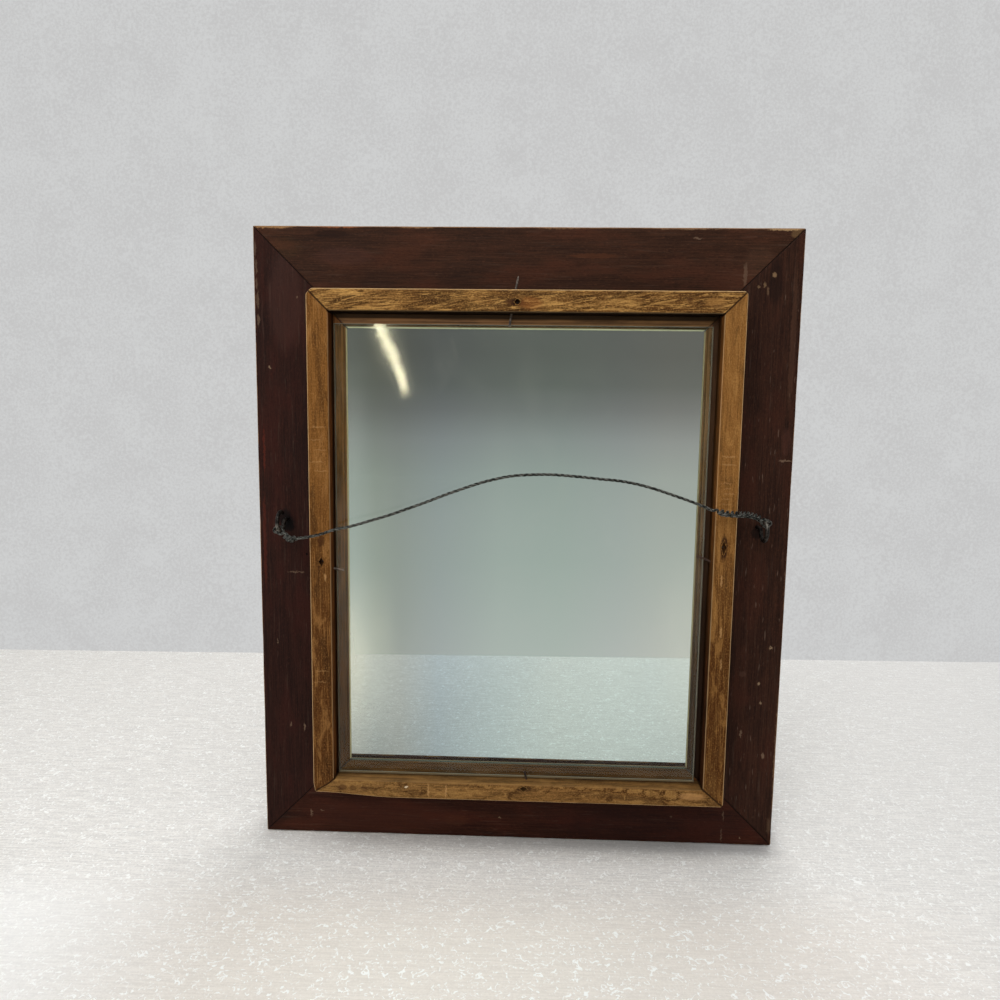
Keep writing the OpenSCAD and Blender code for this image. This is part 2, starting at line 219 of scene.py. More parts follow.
class Finish(Wiring):
    """A material made by nodes."""

    def __init__(self, name):
        self.material = bpy.data.materials.new(name)
        self.material.use_nodes = True
        super().__init__(self.material.node_tree)

    def attribute(self, name, out="Fac"):
        return self.node("Attribute", out=out, attribute_name=name)

    def place(self):
        """The place on the object, in metres."""
        return self.node("TexCoord", out="Object")

    def place_mm(self):
        return self.stretched(self.place(), (1 / MM,) * 3)

    def stretched(self, vector, scale, shift=(0, 0, 0), turn=0):
        """The vector scaled, then turned in the face of the board by degrees, then shifted."""
        turn = (0, 0, math.radians(turn))
        sockets = {"Vector": vector, "Scale": scale, "Location": shift, "Rotation": turn}
        return self.node("Mapping", sockets)

    def vectors(self, operation, *vectors, out="Vector"):
        sockets = dict(enumerate(vectors))
        return self.node("VectorMath", sockets, out, operation=operation)

    def ragged(self, vector, scale, reach):
        """The vector moved about by noise, so that spots on it get ragged edges."""
        sockets = {"Vector": vector, "Scale": scale, "Detail": 3.0}
        colours = self.node("TexNoise", sockets, "Color")
        around = self.vectors("SUBTRACT", colours, (0.5,) * 3)
        around = self.vectors("MULTIPLY", around, [2 * r for r in reach])
        return self.vectors("ADD", vector, around)

    def distance(self, value):
        """How far a number is from zero."""
        return self.maths("ABSOLUTE", value)

    def noise(self, vector, scale=1.0, detail=3.0, rough=0.5, bend=0.0):
        return self.node("TexNoise", {
            "Vector": vector, "Scale": scale, "Detail": detail,
            "Roughness": rough, "Distortion": bend,
        })

    def rise(self, value, low, high, low_out=0.0, high_out=1.0):
        """Goes smoothly from low_out to high_out as the value goes from low to high."""
        sockets = {0: value, 1: low, 2: high, 3: low_out, 4: high_out}
        return self.node("MapRange", sockets, interpolation_type="SMOOTHSTEP")

    def mix(self, share, first, second, blend="MIX"):
        """Mixes two colours."""
        sockets = {0: share, 6: colour(first), 7: colour(second)}
        return self.node("Mix", sockets, 2, data_type="RGBA", blend_type=blend)

    def coats(self, base, *coats):
        """Lays tones over a colour. Each coat is a value, where that value begins to show the
        tone and where it shows it fully, the tone's share, and the tone."""
        for value, begins, full, share, tone in coats:
            base = self.mix(self.rise(value, begins, full) * share, base, tone)
        return base

    def ramp(self, value, stops):
        return self.node("ValToRGB", {0: value}, stops=stops)

    def parts(self, vector):
        """The three numbers of a vector."""
        return self.outputs("SeparateXYZ", range(3), {0: vector})

    def far(self, vector, middle, size):
        """How far out of an oval a point is: 1 on its rim. Size is its half axes."""
        scaled = self.vectors("DIVIDE", self.vectors("SUBTRACT", vector, middle), size)
        return self.vectors("LENGTH", scaled, out="Value")

    def spot(self, vector, middle, size):
        """1 in the middle of an oval spot and 0 past its rim."""
        return self.rise(self.far(vector, middle, size), 1.0, 0.55)

    def facing(self):
        """1 on a face's front and 0 on its back."""
        return 1 - self.node("NewGeometry", out="Backfacing")

    def bump(self, height, distance, strength):
        sockets = {"Height": height, "Distance": distance, "Strength": strength}
        return self.node("Bump", sockets)

    def skin(self, base, rough, shine, bump, metal=0.0):
        """Ends the material in one Principled shader, with a bump's height, distance, strength."""
        return self.close(self.node("BsdfPrincipled", {
            "Base Color": base, "Roughness": rough, "Specular IOR Level": shine,
            "Metallic": metal, "Normal": self.bump(*bump),
        }))

    def blend(self, share, first, second):
        """Mixes two shaders."""
        return self.node("MixShader", {0: share, 1: first, 2: second})

    def close(self, shader):
        self.node("OutputMaterial", {"Surface": shader})
        return self.material


class Shape(Wiring):
    """A tree of Geometry Nodes with named inputs."""

    def __init__(self, name, sizes):
        super().__init__(bpy.data.node_groups.new(name, "GeometryNodeTree"))
        add = self.tree.interface.new_socket
        for way in ("INPUT", "OUTPUT"):
            add("Geometry", in_out=way, socket_type="NodeSocketGeometry")
        self.inputs = {
            size: add(size, in_out="INPUT", socket_type="NodeSocket" + kind).identifier
            for size, kind in sizes.items()
        }
        self.entry = self.tree.nodes.new("NodeGroupInput").outputs

    def __getitem__(self, name):
        return Wired(self, self.entry[name])

    def clamped(self, value):
        return self.node("Clamp", {"Value": value, "Min": 0.0, "Max": 1.0})

    def shut(self, geometry, material):
        """Ends the tree with a material."""
        sockets = {"Geometry": geometry, "Material": material}
        self.node("NodeGroupOutput", {0: self.node("GeometryNodeSetMaterial", sockets)})
        return self


def shaped(name, points, shape, sizes):
    """Runs a tree of Geometry Nodes on a mesh and keeps what it makes as a plain mesh."""
    piece = link(name, points)
    change = piece.modifiers.new("shape", "NODES")
    change.node_group = shape.tree
    for size, value in sizes.items():
        change[shape.inputs[size]] = value
    plain(piece)
    shade(piece.data, 40)
    return piece


def plain(piece):
    """Turns a piece's modifiers into its mesh."""
    seen = piece.evaluated_get(bpy.context.evaluated_depsgraph_get())
    mesh = bpy.data.meshes.new_from_object(seen)
    piece.modifiers.clear()
    old = piece.data
    piece.data = mesh
    bpy.data.meshes.remove(old)


# Meshes

def link(name, mesh):
    piece = bpy.data.objects.new(name, mesh)
    bpy.context.collection.objects.link(piece)
    return piece


def shade(mesh, sharp):
    """Makes a mesh smooth up to an angle in degrees."""
    mesh.polygons.foreach_set("use_smooth", [True] * len(mesh.polygons))
    mesh.set_sharp_from_angle(angle=math.radians(sharp))


def keep(mesh, name, values):
    """Stores a number or a vector for each point, which nodes read."""
    if isinstance(values[0], float):
        mesh.attributes.new(name, "FLOAT", "POINT").data.foreach_set("value", values)
    else:
        layer = mesh.attributes.new(name, "FLOAT_VECTOR", "POINT")
        layer.data.foreach_set("vector", [c for v in values for c in v])


def mesh_from(name, points, faces, sharp=35, **kept):
    """A closed mesh of points in metres, with values that it keeps for its points."""
    mesh = bpy.data.meshes.new(name)
    mesh.from_pydata([tuple(p) for p in points], [], faces)
    mesh.validate()
    shade(mesh, sharp)
    bm = bmesh.new()
    bm.from_mesh(mesh)
    bmesh.ops.recalc_face_normals(bm, faces=bm.faces[:])
    bm.to_mesh(mesh)
    bm.free()
    for kind, values in kept.items():
        keep(mesh, kind, values)
    return mesh


def tube_faces(rings, sides, first=0):
    """Faces round rings of points, and one over each end."""
    faces = []
    for start in range(first, first + (rings - 1) * sides, sides):
        for k in range(sides):
            n = (k + 1) % sides
            faces.append((start + k, start + n, start + sides + n, start + sides + k))
    last = first + (rings - 1) * sides
    return faces + [tuple(range(first, first + sides))[::-1], tuple(range(last, last + sides))]


def spun(a, b, turn):
    """The direction that lies a turn from a towards b."""
    return math.cos(turn) * a + math.sin(turn) * b


ROUND_STEPS = 6


def rounded(corners):
    """A closed outline with round corners. Each corner is (across, depth, radius); each point
    that comes back is (across, depth, edge), where edge is 1 on a round and 0 on a flat."""
    outline = []
    for i, (x, y, radius) in enumerate(corners):
        here = Vector((x, y))
        if radius == 0:
            outline.append((x, y, 0.0))
            continue
        before = (Vector(corners[i - 1][:2]) - here).normalized()
        after = (Vector(corners[(i + 1) % len(corners)][:2]) - here).normalized()
        half = before.angle(after) / 2
        reach = radius / math.tan(half)
        start, end = here + before * reach, here + after * reach
        hub = here + (before + after).normalized() * radius / math.sin(half)
        for k in range(ROUND_STEPS + 1):
            spoke = (start - hub).lerp(end - hub, k / ROUND_STEPS).normalized() * radius
            outline.append((*(hub + spoke), math.sin(math.pi * k / ROUND_STEPS)))
    return outline


def filled(outline, step):
    """The outline with points added on its long flats."""
    full = []
    for (x, y, edge), (nx, ny, _) in zip(outline, outline[1:] + outline[:1]):
        full.append((x, y, edge))
        count = int(math.hypot(nx - x, ny - y) / step)
        shares = [k / count for k in range(1, count)]
        full += [(x + (nx - x) * share, y + (ny - y) * share, 0.0) for share in shares]
    return full


def arc(middle, radii, start, end, steps):
    """Points of an arc in an outline, without the round mark."""
    turns = [math.radians(start + (end - start) * i / steps) for i in range(steps + 1)]
    (x, y), (wide, deep) = middle, radii
    return [(x + wide * math.cos(a), y + deep * math.sin(a), 0) for a in turns]


def outward(outline):
    """The outward direction of each point of an outline that runs round its section."""
    pairs = zip(outline, outline[1:] + outline[:1])
    area = sum(a[0] * b[1] - b[0] * a[1] for a, b in pairs)
    turn = 1 if area > 0 else -1
    found = []
    for i in range(len(outline)):
        a, b = outline[i - 1], outline[(i + 1) % len(outline)]
        found.append(Vector((b[1] - a[1], a[0] - b[0])).normalized() * turn)
    return found


def lump(x, y, z, scale, seed):
    """Smooth noise from 0 to 1 over about scale millimetres."""
    place = Vector((x / scale + seed * 17.3, y / scale - seed * 5.1, z / scale + seed * 2.7))
    return 0.5 + 0.5 * noise.noise(place)


def side_number(side):
    return list(SIDES).index(side) + 1


def ease(value):
    value = max(0.0, min(1.0, value))
    return value * value * (3 - 2 * value)


class Board:
    """A mitred side of the frame: its outline swept along its length, with worn edges."""

    def __init__(self, kind, side, outline, wear, rough, step):
        self.kind, self.side = kind, side
        self.span = SPAN[kind, side]
        self.next = [SPAN[kind, other].width for other in NEXT[side]]
        self.outline, self.ways = outline, outward(outline)
        self.wear, self.rough, self.step = wear, rough, step
        self.seed = 3 * side_number(side) + len(kind)

    def ends(self, across):
        """The board's two ends at a distance across, along the mitres."""
        share = across / self.span.width
        return self.span.low + self.next[0] * share, self.span.high - self.next[1] * share

    def stations(self):
        """Shares of the board's length, closer together at its ends."""
        long = self.span.high - self.span.low
        count = int(long / self.step)
        even = [i / count for i in range(1, count)]
        near = [n / long for n in (0, 0.15, 0.35, 0.7, 1.2)]
        return sorted(even + near + [1 - n for n in near])

    def worn(self, x, across, depth, edge, end):
        """How far the surface has gone in at a point, in millimetres."""
        flat = self.rough * lump(x * 0.25, across, depth, 2.2, self.seed)
        broad = lump(x, across, depth, 22, self.seed + 3)
        fine = lump(x, across, depth, 2.5, self.seed + 5)
        rub = edge * self.wear * (0.2 + 0.8 * ease((broad - 0.5) * 4) * fine)
        return flat + rub + 0.2 * (1 - ease(end / 0.7))

    def build(self):
        points, grain, edges, seams = [], [], [], []
        places = self.stations()
        for share in places:
            for (across, depth, edge), way in zip(self.outline, self.ways):
                low, high = self.ends(across)
                x = low + (high - low) * share
                end = min(x - low, high - x)
                deep = self.worn(x, across, depth, edge, end)
                inner = self.span.out - across + way.x * deep
                point = turned((x, depth - way.y * deep, inner), SIDES[self.side])
                points.append(placed(dented(point)))
                grain.append((x, across, depth))
                edges.append(edge * (0.35 + 0.65 * lump(x, 0, across, 9, self.seed + 8)))
                seams.append(end)
        name = self.side + "_" + self.kind + "_wood"
        faces = tube_faces(len(places), len(self.outline))
        return link(name, mesh_from(name, points, faces, 50, grain=grain, edge=edges, seam=seams))


# Where the strips' corners are worn round: middle, reach and movement, in millimetres
DENTS = [
    ((115.55, 26.2, -141.2), (48, 40, 9), (-0.7, 0, 2.3)),
    ((115.55, 26.2, 140.8), (3.6, 16, 3.6), (-1.2, 0, -1.2)),
    ((-115.55, 26.2, 140.8), (2.2, 8, 2.2), (0.5, 0, -0.5)),
    ((-115.55, 26.2, -141.2), (1.8, 8, 1.8), (0.4, 0, 0.4)),
]


def dented(point):
    """A point of a board, moved where the strips' corners are worn."""
    for middle, reach, move in DENTS:
        far = math.sqrt(sum(((p - m) / r) ** 2 for p, m, r in zip(point, middle, reach)))
        if far < 1:
            point = point + Vector(move) * ease(1 - far)
    return point


def finish_piece(piece, slot, material, *nodes, body="frame"):
    """A finished piece rides on its body and stands for its CAD nodes."""
    piece.data.materials.clear()
    piece.data.materials.append(material)
    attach(piece, body)
    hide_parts(*nodes)
    return piece


def cut(piece, cutters):
    """Cuts holes in a piece, and keeps its attributes."""
    points, faces = [], []
    for some_points, some_faces in cutters:
        base = len(points)
        points += some_points
        faces += [tuple(base + i for i in face) for face in some_faces]
    tool = link("cutter", mesh_from("cutter", points, faces))
    change = piece.modifiers.new("holes", "BOOLEAN")
    change.operation, change.object, change.solver = "DIFFERENCE", tool, "MANIFOLD"
    plain(piece)
    bpy.data.objects.remove(tool)
    shade(piece.data, 50)


# The picture wire's route, as it hangs, in millimetres from the middle of the rails' back
WIRE_D = 1.6
WIRE_ROUTE = [
    (117.5, 36, 9), (113, 37, 9.8), (106, 38, 11.6), (98, 38.6, 14.4), (90, 39, 16.2),
    (80, 39.4, 19.2), (70, 39.8, 22.4), (59, 40.2, 26.4), (48, 40.6, 30.6), (38, 41, 34.6),
    (27, 41.3, 38.6), (17, 41.5, 41.8), (5, 41.7, 44.4), (-6, 41.8, 45.3), (-17, 41.8, 45.4),
    (-29, 41.7, 44.6), (-40, 41.5, 43.6), (-51, 41.2, 42.6), (-61, 40.9, 40.8), (-71, 40.6, 38),
    (-79, 40.3, 35.4), (-86, 40, 33), (-91, 39.7, 31.2), (-95, 39.4, 29.6),
]
EYE_UP, EYE_OUT, EYE_RING_R, EYE_WIRE_D = 14, 13, 5.75, 2.2
EYE_X = {
    side: (highest(side + "_screw_eye").x + lowest(side + "_screw_eye").x) / 2
    for side in ("left", "right")
}


def on_ring(side, angle):
    """The point of an eye's ring at an angle in degrees."""
    around = spun(Vector((0, 1, 0)), Vector((0, 0, 1)), math.radians(angle))
    return Vector((EYE_X[side], EYE_OUT, EYE_UP)) + EYE_RING_R * around


def smooth_line(points, step):
    """A smooth curve through points, as points about step apart."""
    line = []
    for i in range(len(points) - 1):
        p = [Vector(points[max(0, min(len(points) - 1, j))]) for j in range(i - 1, i + 3)]
        count = max(2, round((p[2] - p[1]).length / step))
        for k in range(count):
            t = k / count
            line.append(0.5 * (
                2 * p[1] + (p[2] - p[0]) * t + (2 * p[0] - 5 * p[1] + 4 * p[2] - p[3]) * t * t
                + (3 * p[1] - p[0] - 3 * p[2] + p[3]) * t ** 3
            ))
    line.append(Vector(points[-1]))
    return line


# A tie's twist and loop, as the part's source makes them
LOOP_GAP, TWIST_GAP = 0.35, 0.6
LOOP_R = EYE_WIRE_D / 2 + LOOP_GAP + WIRE_D / 2
TWIST_R = (WIRE_D + TWIST_GAP) / 2
LOOP_OPEN, NECK_L, TIE_LEAD, TIE_TAIL = 125, 4.2, 0.16, 0.12
STEPS_PER_TURN, LOOP_STEPS = 28, 28


def bent(p, t):
    """A point on the line that leaves p[0] towards p[1] and reaches p[3] from p[2]."""
    s = 1 - t
    return s ** 3 * p[0] + 3 * s * s * t * p[1] + 3 * s * t * t * p[2] + t ** 3 * p[3]


def bent_way(p, t):
    s = 1 - t
    way = s * s * (p[1] - p[0]) + 2 * s * t * (p[2] - p[1]) + t * t * (p[3] - p[2])
    return way.normalized()


def twist_point(line, aim, t, phase, radius):
    way = bent_way(line, t)
    n = aim.cross(way).normalized()
    return bent(line, t) + radius * spun(n, way.cross(n), phase)


def tie_route(side, angle, lean, turns, reach, start, before):
    """The wire's end: one strand of a twist, round the eye's ring, and back as the other."""
    start, start_way = Vector(start), (Vector(start) - Vector(before)).normalized()
    spot = on_ring(side, angle)
    angle, lean = math.radians(angle), math.radians(lean)
    aim = Vector((0, -math.sin(angle), math.cos(angle)))
    inwards = Vector((-1 if side == "left" else 1, 0, 0))
    out = spun(inwards, Vector((0, math.cos(angle), math.sin(angle))), lean)
    n = aim.cross(-out).normalized()
    neck = spot + NECK_L * out
    begin = start + WIRE_D * start_way
    line = [begin, begin + reach[0] * start_way, neck + reach[1] * out, neck]
    steps = turns * STEPS_PER_TURN
    full = 2 * math.pi * turns
    points = [start]
    for i in range(steps + 1):
        t = i / steps
        points.append(twist_point(line, aim, t, full * (1 - t), TWIST_R * min(1, t / TIE_LEAD)))
    for i in range(LOOP_STEPS + 1):
        turn = math.radians(LOOP_OPEN - 2 * LOOP_OPEN * i / LOOP_STEPS)
        points.append(spot + LOOP_R * spun(-out, n, turn))
    for i in range(steps, math.ceil(steps * TIE_TAIL) - 1, -1):
        t = i / steps
        spread = TWIST_R * (1 + 0.5 * max(0, (0.25 - t) / 0.25))
        points.append(twist_point(line, aim, t, full * (1 - t) + math.pi, spread))
    return points


STRANDS, STRAND_LAY, STRAND_SIDES = 3, 9, 10
STRAND_D = WIRE_D / (1 + 2 / math.sqrt(3))
STRAND_STEP, STRAND_LOOSE = 0.42, 0.05


def even_line(points, step):
    """The line again, with points step apart."""
    line, left_over = [points[0].copy()], step
    for a, b in zip(points, points[1:]):
        far, at = (b - a).length, left_over
        while at < far:
            line.append(a.lerp(b, at / far))
            at += step
        left_over = at - far
    if (line[-1] - points[-1]).length > 0.3 * step:
        line.append(points[-1].copy())
    else:
        line[-1] = points[-1].copy()
    return line


def line_frames(line):
    """For each point of a line its way and two directions across it that never spin."""
    frames, across = [], None
    for i in range(len(line)):
        way = (line[min(i + 1, len(line) - 1)] - line[max(i - 1, 0)]).normalized()
        across = way.orthogonal() if across is None else across - way * across.dot(way)
        across = across.normalized()
        frames.append((way, across, way.cross(across)))
    return frames


def strand_mesh(name, points):
    """A wire of strands laid round each other along a line in millimetres."""
    line = even_line(points, STRAND_STEP)
    radius, thick = (WIRE_D - STRAND_D) / 2, STRAND_D / 2
    verts, faces, grooves = [], [], []
    for s in range(STRANDS):
        centres, along = [], 0.0
        for i, (p, (_, a, b)) in enumerate(zip(line, line_frames(line))):
            along += (p - line[i - 1]).length if i else 0
            turn = 2 * math.pi * (s / STRANDS + along / STRAND_LAY)
            loose = 1 + STRAND_LOOSE * math.sin(along * 0.37 + s * 2.1)
            centres.append(p + radius * loose * spun(a, b, turn))
        faces += tube_faces(len(centres), STRAND_SIDES, len(verts))
        for p, c, (_, a, b) in zip(line, centres, line_frames(centres)):
            for k in range(STRAND_SIDES):
                way = spun(a, b, 2 * math.pi * k / STRAND_SIDES)
                verts.append(placed(c + thick * way))
                grooves.append(0.5 - 0.5 * (c - p).dot(way) / max((c - p).length, 0.01))
    return mesh_from(name, verts, faces, 60, groove=grooves)


# Materials

BARE, DUST, FOOT_SHADE, SEAM_SHADE = (142, 106, 74), (120, 100, 86), (18, 9, 6), (17, 9, 7)
TORN_PALE, SAWN_SEAM = (196, 162, 116), (40, 23, 11)
GILT_DIM, GILT_BRIGHT = (168, 124, 62), (218, 176, 104)
CLAY, SLIP_SEAM = (112, 52, 30), (30, 18, 10)
GLASS_TINT, FILM = (237, 244, 242), (240, 238, 218)
RIM_FOOT, RIM_TONE = (106, 88, 64), (128, 104, 76)


class Wood(Finish):
    """A finish that reads a board's grain, worn edges and mitred ends."""

    def __init__(self, name, side, shift=(0, 0, 0)):
        super().__init__(name + "_" + side)
        self.grain = self.attribute("grain", "Vector")
        self.along, self.across, self.depth = self.parts(self.grain)
        self.edge, self.end = self.attribute("edge"), self.attribute("seam")
        self.shift = tuple(side_number(side) * step for step in shift)

    def streaks(self, stretch, detail=4, rough=0.6, bend=0.0, grain=None, shift=None):
        """Noise stretched along the grain, other on each side."""
        place = self.stretched(grain or self.grain, stretch, shift or self.shift)
        return self.noise(place, 1, detail, rough, bend)

    def marked(self, base, place, marks, depth, reach):
        """Lays a table of marks over a colour, at a depth on the board."""
        for along, across, long, wide, tint, share in marks:
            mask = self.spot(place, (along, across, depth), (long, wide, reach))
            base = self.mix(mask * share, base, tint)
        return base


def stained_wood(side, dark, light, cloud_tone, worn_share, dash_share):
    """Dark walnut stain over straight grain, dull on the back and rubbed along the edges."""
    f = Wood("walnut_stain", side, (37, 11, 0))
    lines = f.streaks((0.02, 1.1, 1.1), 3, 0.65)
    fibre = f.streaks((0.09, 2.4, 2.4), 4, 0.65)
    bands = f.streaks((0.005, 0.16, 0.16), 3, 0.55, 0.4)
    clouds = f.streaks((0.022, 0.06, 0.06))
    grit = f.streaks((0.5, 1.5, 1.5), 3, 0.65)
    pores = f.rise(f.streaks((0.09, 4.4, 4.4), 2, 0.5), 0.60, 0.68)
    smears = f.streaks((0.03, 0.5, 0.5), 4, 0.65, shift=(9, 2, 5))
    dashes = f.streaks((0.11, 0.8, 0.8), 2, 0.5, shift=(3, 6, 1))
    chips = f.streaks((0.2, 0.9, 0.9), 4, 0.65)
    back = f.rise(f.depth, -8, -2)
    tone = f.rise(lines * 0.3 + fibre * 0.34 + bands * 0.12 + clouds * 0.24, 0.38, 0.62)
    base = f.coats(
        f.mix(tone, dark, light),
        (clouds, 0.46, 0.66, 0.5, cloud_tone), (bands, 0.58, 0.70, 0.25, darker(dark, 0.7)),
        (grit, 0.56, 0.70, back * 0.5, darker(dark, 0.6)),
        (grit, 0.44, 0.30, back * 0.5, darker(light, 1.3)),
    )
    base = f.coats(
        f.mix(pores * 0.4, base, darker(dark, 0.55)),
        (smears, 0.56, 0.70, back * 0.08, DUST), (dashes, 0.66, 0.74, back * dash_share, DUST),
    )
    ragged = f.ragged(f.ragged(f.grain, 0.5, (1.6, 1.0, 0)), 2.0, (0.8, 0.6, 0))
    base = f.marked(base, ragged, RAIL_MARKS[side], 0, 4)
    # A painted shadow, with some grime, in a band along the feet of the strips
    foot = f.spot(f.joined(0, f.across, f.depth), (0, FOOT[side] - 0.6, 0), (1, 2.0, 1.5))
    base = f.coats(
        f.mix(foot * (0.35 + 0.9 * clouds), base, FOOT_SHADE),
        (f.edge + chips * 0.9, 1.22 - worn_share, 1.36 - worn_share, 0.85, BARE),
        (f.end, 0.5, 0.1, 0.7, SEAM_SHADE),
    )
    height = lines * 0.35 + fibre * 0.3 + pores * -0.3 + chips * 0.2 + grit * back * 0.35
    gloss = f.rise(fibre * 0.5 + clouds * 0.5, 0.38, 0.62, 0.46, 0.62) + back * 0.12
    return f.skin(base, gloss, 0.06, (height, 0.0003, 0.45))


SAW_SLANT = -8


def sawn_wood(
    side, low, high, dark, light, strokes, saw, curls, inner, inner_smooth, inner_pale
):
    """Bare sawn wood: streaks along it, marks of the saw across it, and pale torn arrises."""
    f = Wood("sawn_wood", side, (31, 7, 3))
    slanted = f.stretched(f.grain, (1, 1, 1), turn=SAW_SLANT)
    fibre = f.streaks((0.05, 1.3, 1.3), 5, 0.62)
    flames = f.streaks((0.07, 0.6, 0.6), 3, 0.6, 1.4, slanted)
    stroke = f.streaks((0.2, 1.3, 1.3), 4, 0.65, 1.8, slanted)
    teeth = f.streaks((1.3, 0.07, 0.1), 3, 0.6, 0.5)
    clouds = f.streaks((0.035, 0.14, 0.14), bend=0.5)
    grit = f.streaks((1.0, 1.6, 1.6), 3)
    blots = f.streaks((0.09, 0.17, 0.17), 5, 0.68, 1.2)
    base = f.coats(
        f.mix(f.rise(f.along, -70, 70), low, high),
        (fibre, 0.50, 0.64, 0.45, light), (fibre, 0.50, 0.36, 0.4, dark),
        (clouds, 0.50, 0.64, 0.6, darker(high, 0.66)), (clouds, 0.47, 0.36, 0.5, light),
        (flames, 0.52, 0.62, strokes, dark), (flames, 0.46, 0.36, strokes * 0.8, light),
        (stroke, 0.54, 0.64, strokes * 0.7, darker(dark, 0.9)),
        (teeth, 0.58, 0.70, saw, dark), (teeth, 0.42, 0.30, saw * 0.8, darker(light, 1.1)),
        (blots, 0.53, 0.63, curls, dark), (blots, 0.46, 0.38, curls * 0.7, light),
    )
    curled = f.ragged(f.ragged(f.grain, 0.22, (5, 2.4, 0)), 0.9, (1.6, 1.0, 0))
    for along, across, long, wide, share in CURLS.get(side, ()):
        far = f.far(curled, (along, across, STRIP_D), (long, wide, 9))
        ring = f.rise(far, 0.5, 0.9) * f.rise(grit, 0.3, 0.55) * share
        base = f.coats(
            base, (far, 1.0, 0.6, 0.35, light), (far, 1.25, 0.98, ring, darker(dark, 1.15))
        )
    base = f.coats(
        base, (grit, 0.50, 0.66, 0.3, dark), (grit, 0.48, 0.33, 0.3, darker(light, 1.1))
    )
    ragged = f.ragged(f.grain, 0.7, (1.2, 0.9, 0))
    base = f.marked(base, ragged, STRIP_MARKS[side], STRIP_D, 3)
    # The inner wall: its side's tones, which hold painted light and shade, painted darker still
    # towards the pane, where shade falls in the recess
    climb = f.rise(f.along, -90, 40)
    dim, lit = [f.mix(climb, *[darker(tone, share) for tone in inner]) for share in (0.8, 1.2)]
    walls = f.streaks((0.04, 0.5, 0.25))
    shaded_wall_tone = f.coats(
        f.mix(f.rise(walls, 0.38, 0.64), dim, lit), (f.depth, 21.5, 18, 0.75, darker(inner[0], 0.3))
    )
    torn = f.edge + f.streaks((0.3, 1.0, 1.0), 4, 0.7) * 0.9
    torn_share = inner_pale + f.rise(f.across, 3, 1.5) * (0.75 - inner_pale)
    width = SPAN["box_strip", side].width
    base = f.coats(
        base, (f.across, width - 0.8, width - 0.4, inner_smooth, shaded_wall_tone),
        (torn, 0.55, 0.9, torn_share, TORN_PALE), (f.end, 0.8, 0.25, 0.8, SAWN_SEAM),
    )
    height = stroke * 0.5 + teeth * (0.2 + saw) + fibre * 0.4 + grit * 0.3
    return f.skin(base, f.rise(fibre, 0.3, 0.7, 0.6, 0.85), 0.05, (height, 0.0005, 0.9))


# Fillets of the slips: how far from the sight edge, how bright and how strong
FILLETS = ((1.9, 0.4, 0.7), (2.7, 1.35, 0.5), (3.5, 0.6, 0.35))


def gilt_slip(side, low, high, sight_tone_and_light, fillets, shadow_wide, shadow_share):
    """Old gilding over red clay in front, and bare brown wood with a pale sight edge behind."""
    f = Wood("gilt_slip", side)
    fibre, clouds = f.streaks((0.03, 1.3, 1.3)), f.streaks((0.05, 0.2, 0.2))
    worn = f.rise(f.streaks((0.16, 0.8, 0.8), 6, 0.75), 0.54, 0.60)
    climb = f.rise(f.along, -100, 100)

    def brown(share):
        return f.mix(climb, darker(low, share), darker(high, share))

    both = fibre * 0.5 + clouds * 0.5
    wood = f.mix(f.rise(both, 0.38, 0.62), brown(0.78), brown(1.22))
    gilt = f.mix(f.rise(both, 0.4, 0.62), GILT_DIM, GILT_BRIGHT)
    gilt = f.mix(worn * 0.7, gilt, CLAY)
    for fillet, tint, share in FILLETS:
        line = f.spot(f.joined(0, f.across, 0), (0, SLIP_W - fillet, 0), (1, 0.5, 1))
        wood = f.mix(line * fillets * share, wood, brown(tint))
    # A painted shadow that the strip casts over the slip's outer part
    strip_shadow = (f.across, shadow_wide + 0.4, shadow_wide - 0.4, shadow_share, brown(0.35))
    front = f.rise(f.depth, SLIP_D - 1.0, SLIP_D - 1.8)
    sight_share = (1 - front) * f.rise(fibre, 0.3, 0.6, 0.75, 1)
    # The sight edge is pale, with painted light on it: a painted highlight on the top slip and
    # painted shade on the bottom one
    base = f.coats(
        f.mix(front, f.coats(wood, strip_shadow), gilt),
        (f.across, SLIP_W - 0.85, SLIP_W - 0.6, sight_share, sight_tone_and_light),
        (f.end, 0.5, 0.15, 0.7, SLIP_SEAM),
    )
    metal = front * (1 - worn * 0.8) * 0.85
    bump = (fibre + worn * 0.6, 0.00015, 0.6)
    return f.skin(base, f.rise(clouds, 0.3, 0.7, 0.38, 0.6), 0.08, bump, metal)


def steel(name, dark, light, rust, rough, rubbed=None, lay=False, bright=0.9):
    """Old steel with dull patches and a little rust."""
    f = Finish(name)
    place = f.place_mm()
    patch, grit = f.noise(place, 0.55, 4, 0.6), f.noise(place, 3.2, 3, 0.6)
    tone = f.rise(patch * 0.6 + grit * 0.4, 0.42, 0.58)
    base = f.coats(f.mix(tone, dark, light), (patch, 0.54, 0.66, 0.7, rust))
    # On the wire, painted shade in the grooves between the strands, on each strand's side towards
    # the wire's middle
    if lay:
        base = f.coats(base, (f.attribute("groove"), 0.25, 0.75, 0.92, darker(dark, 0.22)))
    if rubbed:
        base = f.coats(base, (grit, 0.4, 0.6, f.attribute("rubbed"), rubbed))
    metal = f.rise(patch, 0.62, 0.5, bright * 0.4, bright)
    bump = (grit * 0.6 + patch * 0.4, 0.00012, 0.8)
    return f.skin(base, f.rise(grit, 0.3, 0.7, rough, rough + 0.25), 0.4, bump, metal)


# Pale breath of dust on the pane: middle and reach in millimetres, and share
BREATH = [
    ((97, -8, -196), (34, 20, 66), 0.22), ((97, -8, -196), (14, 20, 46), 0.18),
    ((-97, -8, -190), (26, 20, 80), 0.10), ((96, -8, -70), (14, 20, 60), 0.03),
]
SIGHT_X = 95.6


